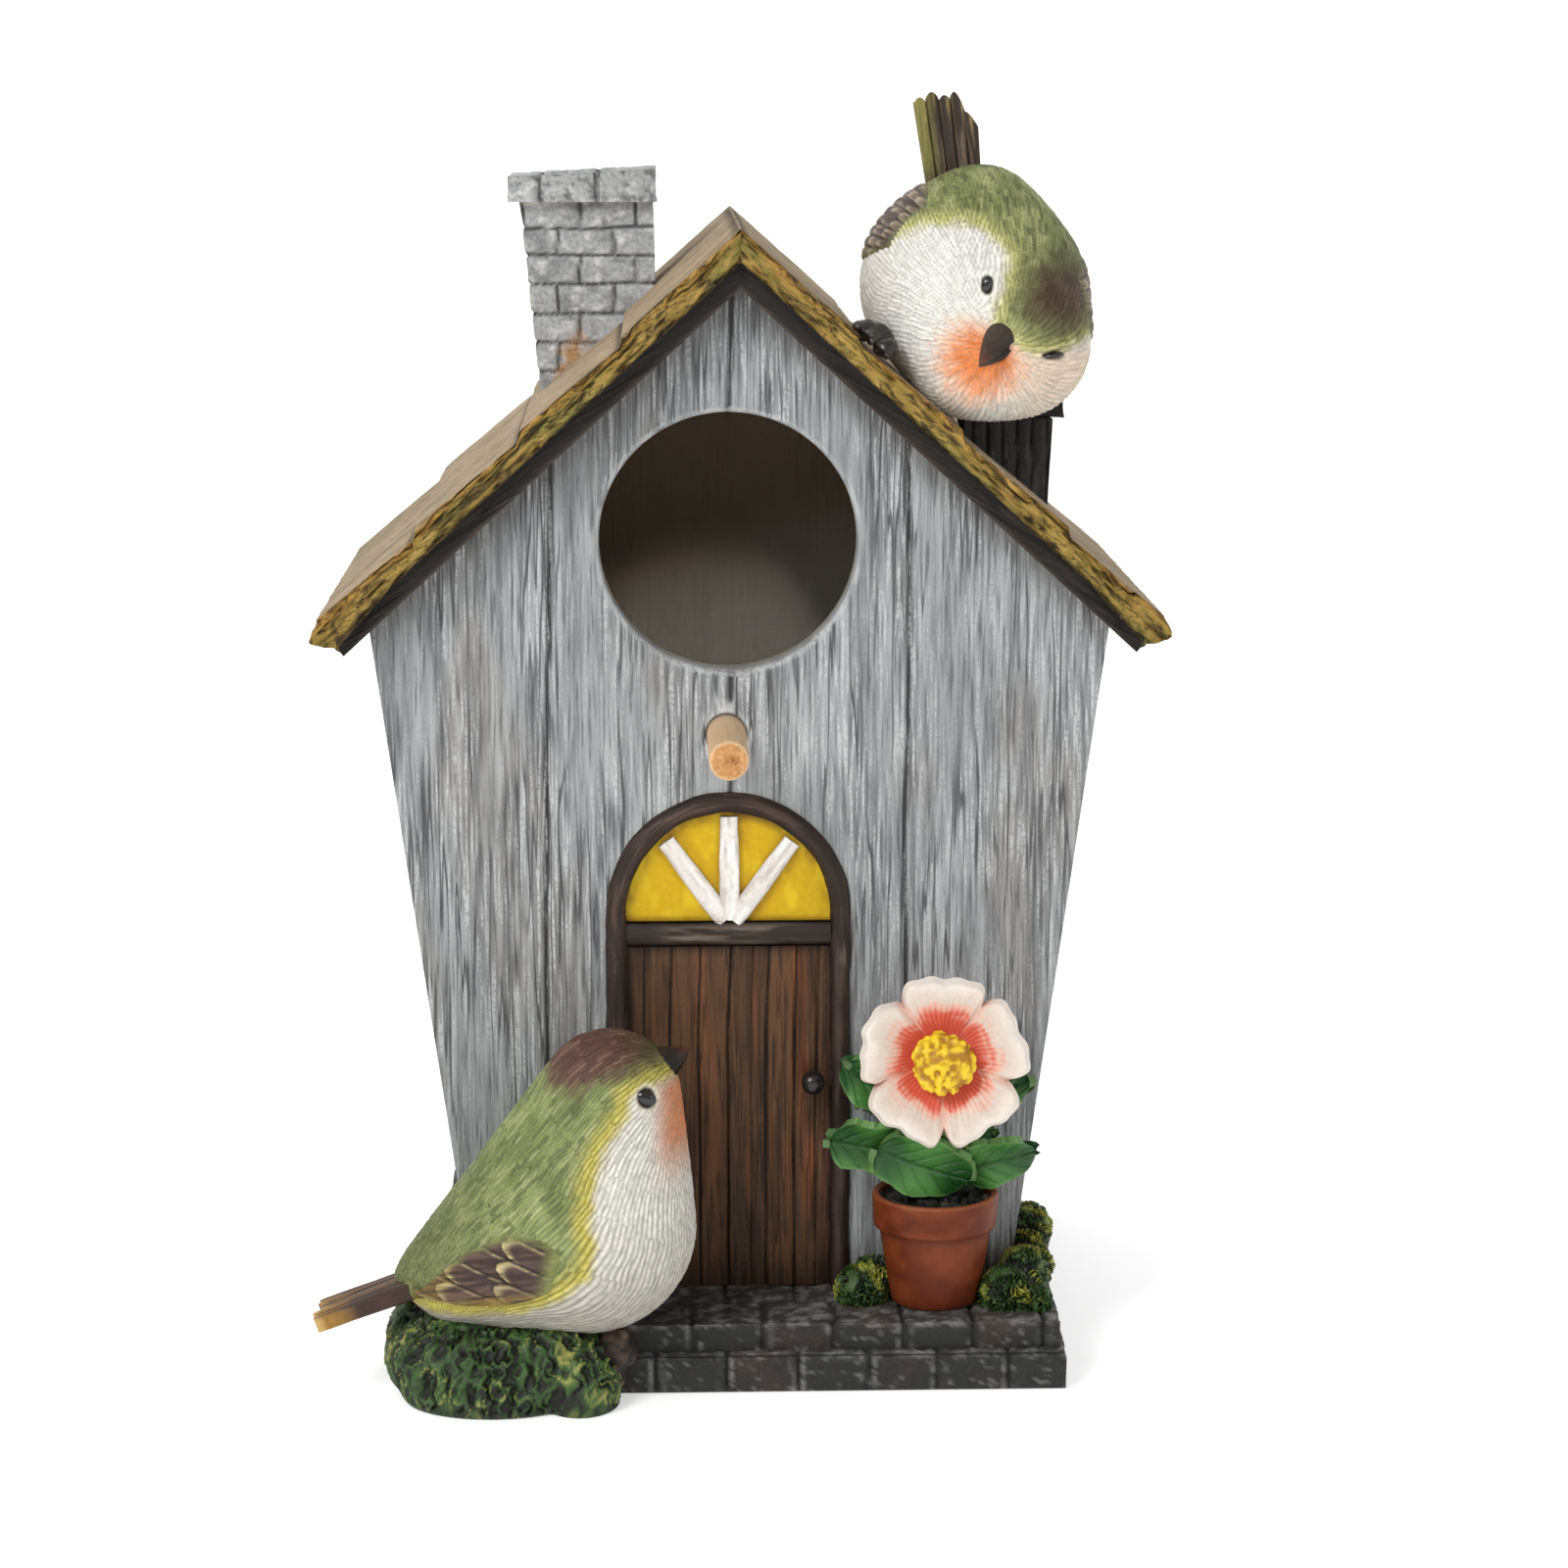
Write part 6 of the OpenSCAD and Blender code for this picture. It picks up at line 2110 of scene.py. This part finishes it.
def head_place(x, lift, z):
    """Puts flower-head coordinates in place: the head leans back a little."""
    y = -lift * math.cos(HEAD_TILT) + z * math.sin(HEAD_TILT)
    return (np.stack([x, y, z * math.cos(HEAD_TILT)], 1) + HEAD) * MM


bloom = flat_net("ruffled_petals", 400, 46)
q = points_of(bloom)
turn = q[:, 0] * 2 * math.pi
r = q[:, 1]
fifth = 2 * math.pi / 5
from_middle = ((turn - math.pi / 2 + fifth / 2) % fifth - fifth / 2) / (fifth / 2)
petal_no = np.floor((turn - math.pi / 2 + fifth / 2) / fifth).astype(np.int64) % 5
edge = 1 - 0.17 * np.abs(from_middle) ** 7
wave_phase = cell_share(petal_no, petal_no * 0, petal_no * 0, 361) * 6
slow_wave = 0.03 * np.sin(from_middle * 5 + wave_phase)
edge = edge * (1 + slow_wave + 0.014 * np.sin(from_middle * 13 + wave_phase))
reach = PETAL_REACH * edge
rr = 2.0 + (reach - 2.0) * r
groove_sway = 0.6 * ripple(q * 0.03, (4, 4, 1), 363)
groove_line = np.abs(((turn * PETAL_GROOVES / (2 * math.pi)) + groove_sway) % 1 - 0.5) * 2
radial = (1 - ramp(groove_line, 0.0, 0.55)) * ramp(r, 0.15, 0.35) * (1 - ramp(r, 0.5, 0.85)) * 0.6
between = ramp(np.abs(from_middle), 0.82, 1.0)
cup = 3.0 * ramp(r, 0.1, 0.95) + 0.9 * ramp(r, 0.75, 0.97) * np.sin(from_middle * 5 + wave_phase)
roll = ramp(r, 0.9, 1.0)
lift = cup - 1.7 * roll ** 2 - 1.1 * between * ramp(r, 0.2, 0.6) - 0.35 * radial
lift = lift + 0.8 * (1 - np.abs(from_middle)) * ramp(r, 0.2, 0.7)
x = rr * np.cos(turn)
z = rr * np.sin(turn)
move_points(bloom, head_place(x, lift - 1.0, z))
blush = rough(q * 0.03, 2, 2, 365)
heart = 1 - ramp(r * PETAL_REACH + 0.6 * (groove_line - 0.5) + 4.0 * (blush - 0.5), 5.5, 12.8)
cream = mix(ink("d0c1b4"), ink("e4dbd1"), ramp(r, 0.7, 0.95) * (1 - 0.6 * np.abs(from_middle)))
colour = coats(
    cream,
    ("e2a08a", ramp(heart, 0.02, 0.45) * 0.8),
    ("cf4f36", ramp(heart, 0.3, 0.85) * 0.95),
    ("c04a34", radial * ramp(heart, 0.2, 0.8) * 0.45),
    ("d9a08c", between * ramp(r, 0.3, 0.7) * 0.6),
)
lay_paint(bloom, colour)
take(bloom)
bpy.ops.object.mode_set(mode="EDIT")
bpy.ops.mesh.select_all(action="SELECT")
bpy.ops.mesh.remove_doubles(threshold=0.00001)
bpy.ops.mesh.normals_make_consistent(inside=False)
bpy.ops.object.mode_set(mode="OBJECT")
n = facing_of(bloom)
if n[:, 1].mean() > 0:
    bpy.ops.object.mode_set(mode="EDIT")
    bpy.ops.mesh.select_all(action="SELECT")
    bpy.ops.mesh.flip_normals()
    bpy.ops.object.mode_set(mode="OBJECT")
thicken(bloom, 2.0 * MM)
place_piece(bloom, petal_paint, "petal_paint", "flower_petals")

heart = lump_skin("lumpy_centre", (((0, 0, 0), (6.3, 3.4, 6.3)),), 0.3 * MM)
p = points_of(heart)
p = head_place(p[:, 0] / MM, -p[:, 1] / MM + 2.2, p[:, 2] / MM)
move_points(heart, p)
n = facing_of(heart)
lump = ripple(p, 1.25, 371)
lump = np.maximum(lump, ripple(p + 0.01, 1.1, 373))
move_points(heart, p + n * (0.9 * MM * (ramp(lump, 0.4, 0.85) - 0.6))[:, None])
colour = mix(ink("a8750f"), ink("e9c51e"), ramp(lump, 0.4, 0.75))
lay_paint(heart, colour)
stamen_paint = painted("stamen_paint", 0.45, 0.7 * MM, speckle=0.12, bump=0.05 * MM, sheen=0.45)
place_piece(heart, stamen_paint, "stamen_paint", "flower_centre")

# ---- Back fittings: the swivel cover over the clean-out hole, its two screws, and the keyhole
# hanger plate with its two screws. Cover and plate keep their exact shapes and only get a finish.
steel, steel_tree, steel_shader = new_material("screw_steel", 0.32)
steel_shader.inputs["Metallic"].default_value = 1.0
steel_shader.inputs["Base Color"].default_value = (0.55, 0.55, 0.56, 1)
brush = shade_noise(steel_tree, object_place(steel_tree), (1, 1, 0.06), 1 / (0.5 * MM), 3)
steel_tree.links.new(shade_ramp(steel_tree, brush, 0.3, 0.7, 0.26, 0.46), steel_shader.inputs["Roughness"])
cover_finish, cover_tree, cover_shader = new_material("cover_finish", 0.55)
mottle = shade_noise(cover_tree, object_place(cover_tree), (1, 1, 0.2), 1 / (3 * MM), 4)
dark_grey = cover_tree.nodes.new("ShaderNodeRGB")
dark_grey.outputs["Color"].default_value = ink("4d5052") + (1,)
light_share = shade_ramp(cover_tree, mottle, 0.4, 0.65)
cover_colour = shade_mix(cover_tree, dark_grey.outputs["Color"], ink("6f7375"), light_share)
cover_tree.links.new(cover_colour, cover_shader.inputs["Base Color"])
raise_relief(cover_tree, cover_shader, mottle, 0.5, 0.08 * MM)
for node_name in ("cover_pivot_screw", "cover_lock_screw", "hanger_plate", "hanger_screws"):
    set_material(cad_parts[node_name], steel)
set_material(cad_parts["cleanout_cover"], cover_finish)
